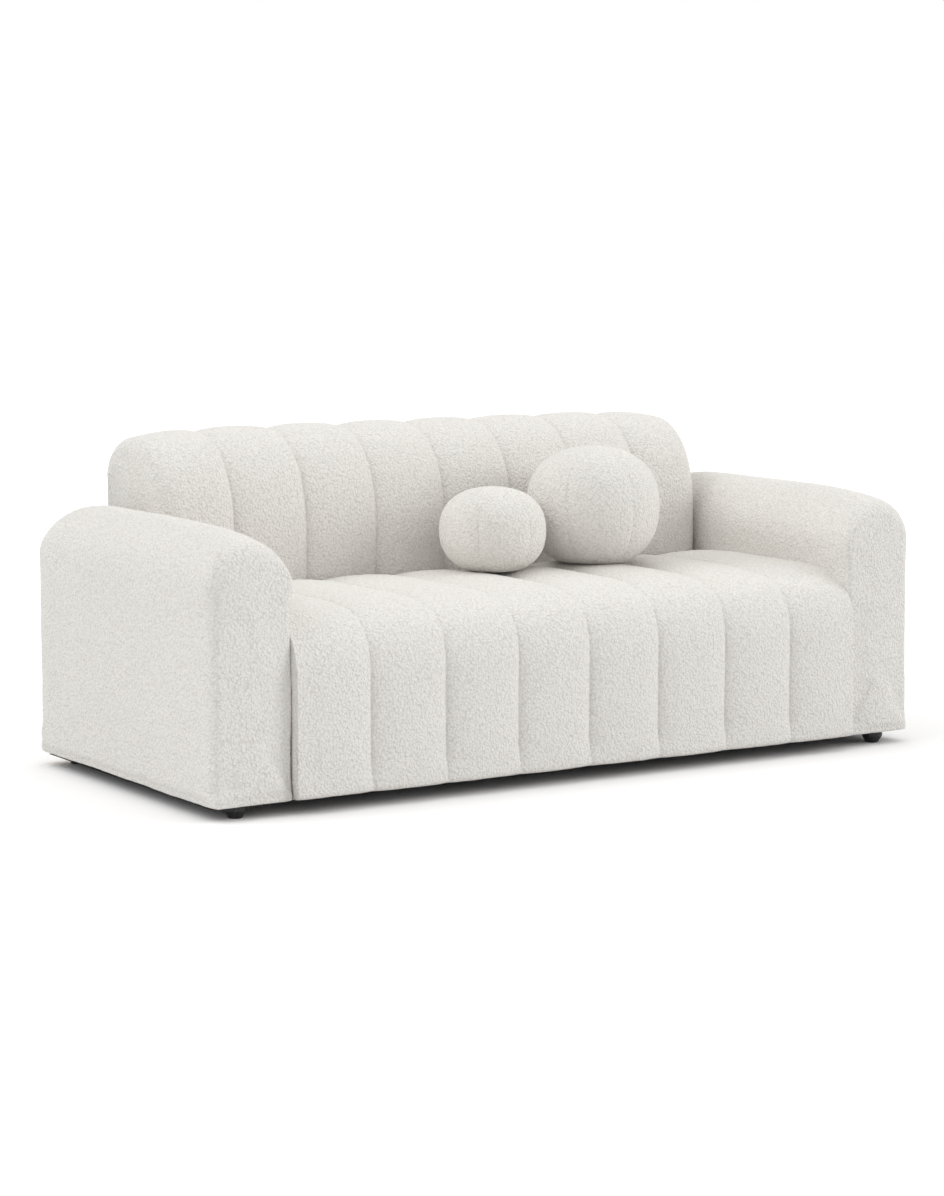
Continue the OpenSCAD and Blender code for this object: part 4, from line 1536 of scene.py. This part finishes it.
@dataclass
class PathFixings:
    """Staples or stitches set at even steps along paths, from one Geometry Nodes tree."""

    name: str
    spacing: float
    length: float
    width: float
    leg: float
    slot: Slot

    def build(self, paths: Sequence[Array], material: Material) -> Piece:
        """Sets the fixings along the paths.

        Args:
            paths: points of each path, which a closed one repeats at its end.
            material: their finish.

        Returns:
            The finished piece.
        """
        edges, start = [], 0
        for path in paths:
            edges += [(start + i, start + i + 1) for i in range(len(path) - 1)]
            start += len(path)
        piece = mesh_object(self.name, np.vstack(paths), [], edges)
        jig = Jig(f"{self.name}_tree", {
            "Spacing": self.spacing, "Length": self.length, "Width": self.width, "Leg": self.leg})
        size = jig.inputs
        curve = jig.node("GeometryNodeMeshToCurve", {}, {0: size["Geometry"]})[0]
        spots, tangent = jig.node(
            "GeometryNodeCurveToPoints", {"mode": "LENGTH"}, {"Curve": curve, "Length": size["Spacing"]})[:2]
        turn = jig.node("FunctionNodeAlignRotationToVector", {"axis": "X", "pivot_axis": "AUTO"},
                        {"Vector": tangent})[0]
        crown, leg = (jig.node("GeometryNodeMeshCube", {}, {"Size": jig.joined(*sizes)})[0] for sizes in (
            (size["Length"], size["Width"], size["Width"]), (size["Width"], size["Width"], size["Leg"])))
        legs = []
        for end in (-0.5, 0.5):
            place = jig.joined((size["Length"] - size["Width"]) * end, 0.0, size["Leg"] * 0.5)
            legs.append(jig.node("GeometryNodeTransform", {}, {"Geometry": leg, "Translation": place})[0])
        shape = jig.node("GeometryNodeJoinGeometry", {}, {0: [crown, *legs]})[0]
        jig.close(jig.node("GeometryNodeInstanceOnPoints", {}, {
            "Points": spots, "Instance": shape, "Rotation": turn})[0])
        jig.run(piece, material)
        shade(piece, smooth=False)
        declare(piece, ROOT, [])
        return piece


def rectangle(low: Vector, high: Vector, inset: tuple[float, float], z: float) -> Array:
    """Closed path round a box at one height.

    Args:
        low: the box's lowest corner.
        high: the box's highest corner.
        inset: distance inside it along X and Y.
        z: height.

    Returns:
        The path's points, the first one repeated at the end.
    """
    a, b = low.x + inset[0], high.x - inset[0]
    c, d = low.y + inset[1], high.y - inset[1]
    return np.array([[a, c, z], [b, c, z], [b, d, z], [a, d, z], [a, c, z]])


# Floor, light and camera


@dataclass(frozen=True)
class Lamp:
    """One broad light, as far away as a window's sky."""

    name: str
    comes_from: Triple
    level: float
    spread_deg: float

    def hang(self) -> None:
        """Hangs the light."""
        data = bpy.data.lights.new(self.name, "SUN")
        data.energy = self.level
        data.angle = math.radians(self.spread_deg)
        lamp = bpy.data.objects.new(self.name, data)
        lamp.rotation_euler = (-Vector(self.comes_from)).to_track_quat("-Z", "Y").to_euler()
        bpy.context.scene.collection.objects.link(lamp)


@dataclass
class Studio:
    """Plain pale studio round the sofa, seen from the photograph's viewpoint."""

    camera_place: Triple = (-4.056, -6.264, 1.318)
    yaw_deg: float = 32.67
    pitch_deg: float = 7.1
    lens_mm: float = 91.475
    sensor_mm: float = 36.0
    floor_half: float = 60.0
    floor_colour: float = 0.80
    sky_level: float = 0.58
    lamps: tuple[Lamp, ...] = (
        Lamp("left_light", (-1.0, 0.25, 0.80), 0.85, 50.0),
        Lamp("right_light", (1.0, -0.60, 0.45), 1.20, 35.0),
        Lamp("top_light", (-0.10, 0.20, 1.0), 0.95, 80.0),
    )

    def floor_material(self) -> Material:
        """Pale matte floor, which the camera sees as white outside the shadows.

        Returns:
            The material.
        """
        kit = Kit("studio_floor")
        camera_ray = kit.node("ShaderNodeLightPath", {}, {})[0]
        colour = kit.mix(camera_ray, (self.floor_colour,) * 3, WHITE)
        matte = kit.node("ShaderNodeBsdfDiffuse", {}, {"Color": colour})[0]
        kit.node("ShaderNodeOutputMaterial", {}, {"Surface": matte})
        return kit.material

    def build_floor(self) -> None:
        """Lays the floor."""
        h = self.floor_half
        points = np.array([[-h, -h, 0], [h, -h, 0], [h, h, 0], [-h, h, 0]], dtype=float)
        floor = mesh_object("studio_floor", points, [(0, 1, 2, 3)])
        give(floor, self.floor_material())

    def build_world(self) -> None:
        """Sets the even sky light, which the camera, reflections and refractions see as white."""
        world = bpy.data.worlds.new("studio_world")
        bpy.context.scene.world = world
        world.use_nodes = True
        world.node_tree.nodes.clear()
        bench = Bench(world.node_tree)
        rays = bench.node("ShaderNodeLightPath", {}, {})
        camera_ray, glossy_ray, clear_ray = rays[0], rays[3], rays[6]
        sky, white = (
            bench.node("ShaderNodeBackground", {}, {"Color": (*WHITE, 1.0), "Strength": level})[0]
            for level in (self.sky_level, 1.0))
        seen = camera_ray.larger(glossy_ray).larger(clear_ray)
        both = bench.node("ShaderNodeMixShader", {}, {0: seen, 1: sky, 2: white})[0]
        bench.node("ShaderNodeOutputWorld", {}, {"Surface": both})

    def build_camera(self) -> None:
        """Places the camera at the photograph's viewpoint."""
        data = bpy.data.cameras.new("photo_camera")
        data.sensor_width = self.sensor_mm
        data.lens = self.lens_mm
        camera = bpy.data.objects.new("photo_camera", data)
        camera.location = self.camera_place
        camera.rotation_euler = (math.radians(90 - self.pitch_deg), 0.0, math.radians(-self.yaw_deg))
        bpy.context.scene.collection.objects.link(camera)
        bpy.context.scene.camera = camera

    def build(self) -> None:
        """Builds the floor, the lights and the camera."""
        self.build_floor()
        self.build_world()
        for lamp in self.lamps:
            lamp.hang()
        self.build_camera()
        bpy.context.scene.view_settings.view_transform = "Standard"


@dataclass
class Sofa:
    """The whole sofa's dressing, in the order in which it is made."""

    palette: Palette
    channels: Channels = Channels()
    press: ArmPress = ArmPress()
    arm_stuffing: Stuffing = Stuffing(voxel=0.0085, cap=0.005, inset=0.004)
    ball_stuffing: Stuffing = Stuffing(voxel=0.005, cap=0.008, inset=0.001)
    pad_wave: float = 0.0004
    staple_sink: float = 0.0006
    staple_insets: tuple[tuple[float, float], tuple[float, float]] = ((0.012, 0.012), (0.034, 0.052))
    stitch_end: float = 0.012
    stitch_depth: float = 0.0004
    stitch_below: float = 0.0010
    stitch_steps: int = 200

    def report(self, piece: Piece) -> None:
        """Logs a finished piece and its number of faces."""
        LOG.info("%s: %d faces", piece.name, len(piece.data.polygons))

    def build_fixings(self, back: Back) -> None:
        """Sets the staples of the linings and the stitches of the rear panel.

        Args:
            back: the back, for the line of its rear seam.
        """
        low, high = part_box("base_dust_cover")
        under = low.z - self.staple_sink
        paths = [rectangle(low, high, self.staple_insets[0], under)]
        for side in Side:
            low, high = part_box(f"{side.word}_arm_dust_cover")
            paths.append(rectangle(low, high, self.staple_insets[1], under - Lining.sink))
        staples = PathFixings("lining_staples", 0.045, 0.011, 0.0011, 0.007, Slot.STEEL)
        self.report(staples.build(paths, self.palette.made[Slot.STEEL]))
        end = self.channels.half_width - self.stitch_end
        xs = np.linspace(-end, end, self.stitch_steps)
        rear_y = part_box("back_rear_cover")[1].y
        seam = stack(xs, rear_y - self.stitch_depth, back.hem_z(xs) - self.stitch_below)
        stitches = PathFixings("rear_seam_stitches", 0.012, 0.0065, 0.0011, 0.0004, Slot.BOUCLE)
        self.report(stitches.build([seam], self.palette.made[Slot.BOUCLE]))

    def build_pad(self, name: str, node: str, flat_axis: int) -> None:
        """Builds one felt pad.

        Args:
            name: the piece's name.
            node: the CAD node that it fills.
            flat_axis: axis across its thickness, 1 for Y and 2 for Z.
        """
        pad = ThinPiece(name, node, Slot.FELT, flat_axis, self.pad_wave).build(self.palette.made[Slot.FELT])
        self.report(pad)

    def build(self) -> None:
        """Builds every piece and reports it."""
        fabric = self.palette.made[Slot.BOUCLE]
        self.report(Seat(self.channels, *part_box("seat_cover"), self.press).build(fabric))
        back = Back(self.channels, *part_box("back_cover"))
        self.report(back.build(fabric))
        self.build_pad("back_wadding_pad", "back_wadding", 1)
        self.report(back.build_rear(fabric))
        self.build_pad("seat_felt_pad", "seat_felt", 2)
        for side in Side:
            low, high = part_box(f"{side.word}_arm_cover")
            self.report(Arm(side, low, high, self.arm_stuffing, self.press).build(fabric))
        for piece in Lining().build(self.palette.made[Slot.DUST_CLOTH]):
            self.report(piece)
        self.report(Webbing().build(self.palette.made[Slot.WEBBING]))
        self.build_fixings(back)
        for name, turn in (("small_ball", 42.0), ("large_ball", 33.0)):
            self.report(BallPillow(name, turn, self.ball_stuffing).build(fabric))


def main() -> None:
    """Builds every piece round the frame, then the studio."""
    logging.basicConfig(level=logging.INFO, format="%(message)s")
    palette = Palette()
    palette.dress_frame()
    Sofa(palette).build()
    Studio().build()


if __name__ == "__main__":
    main()
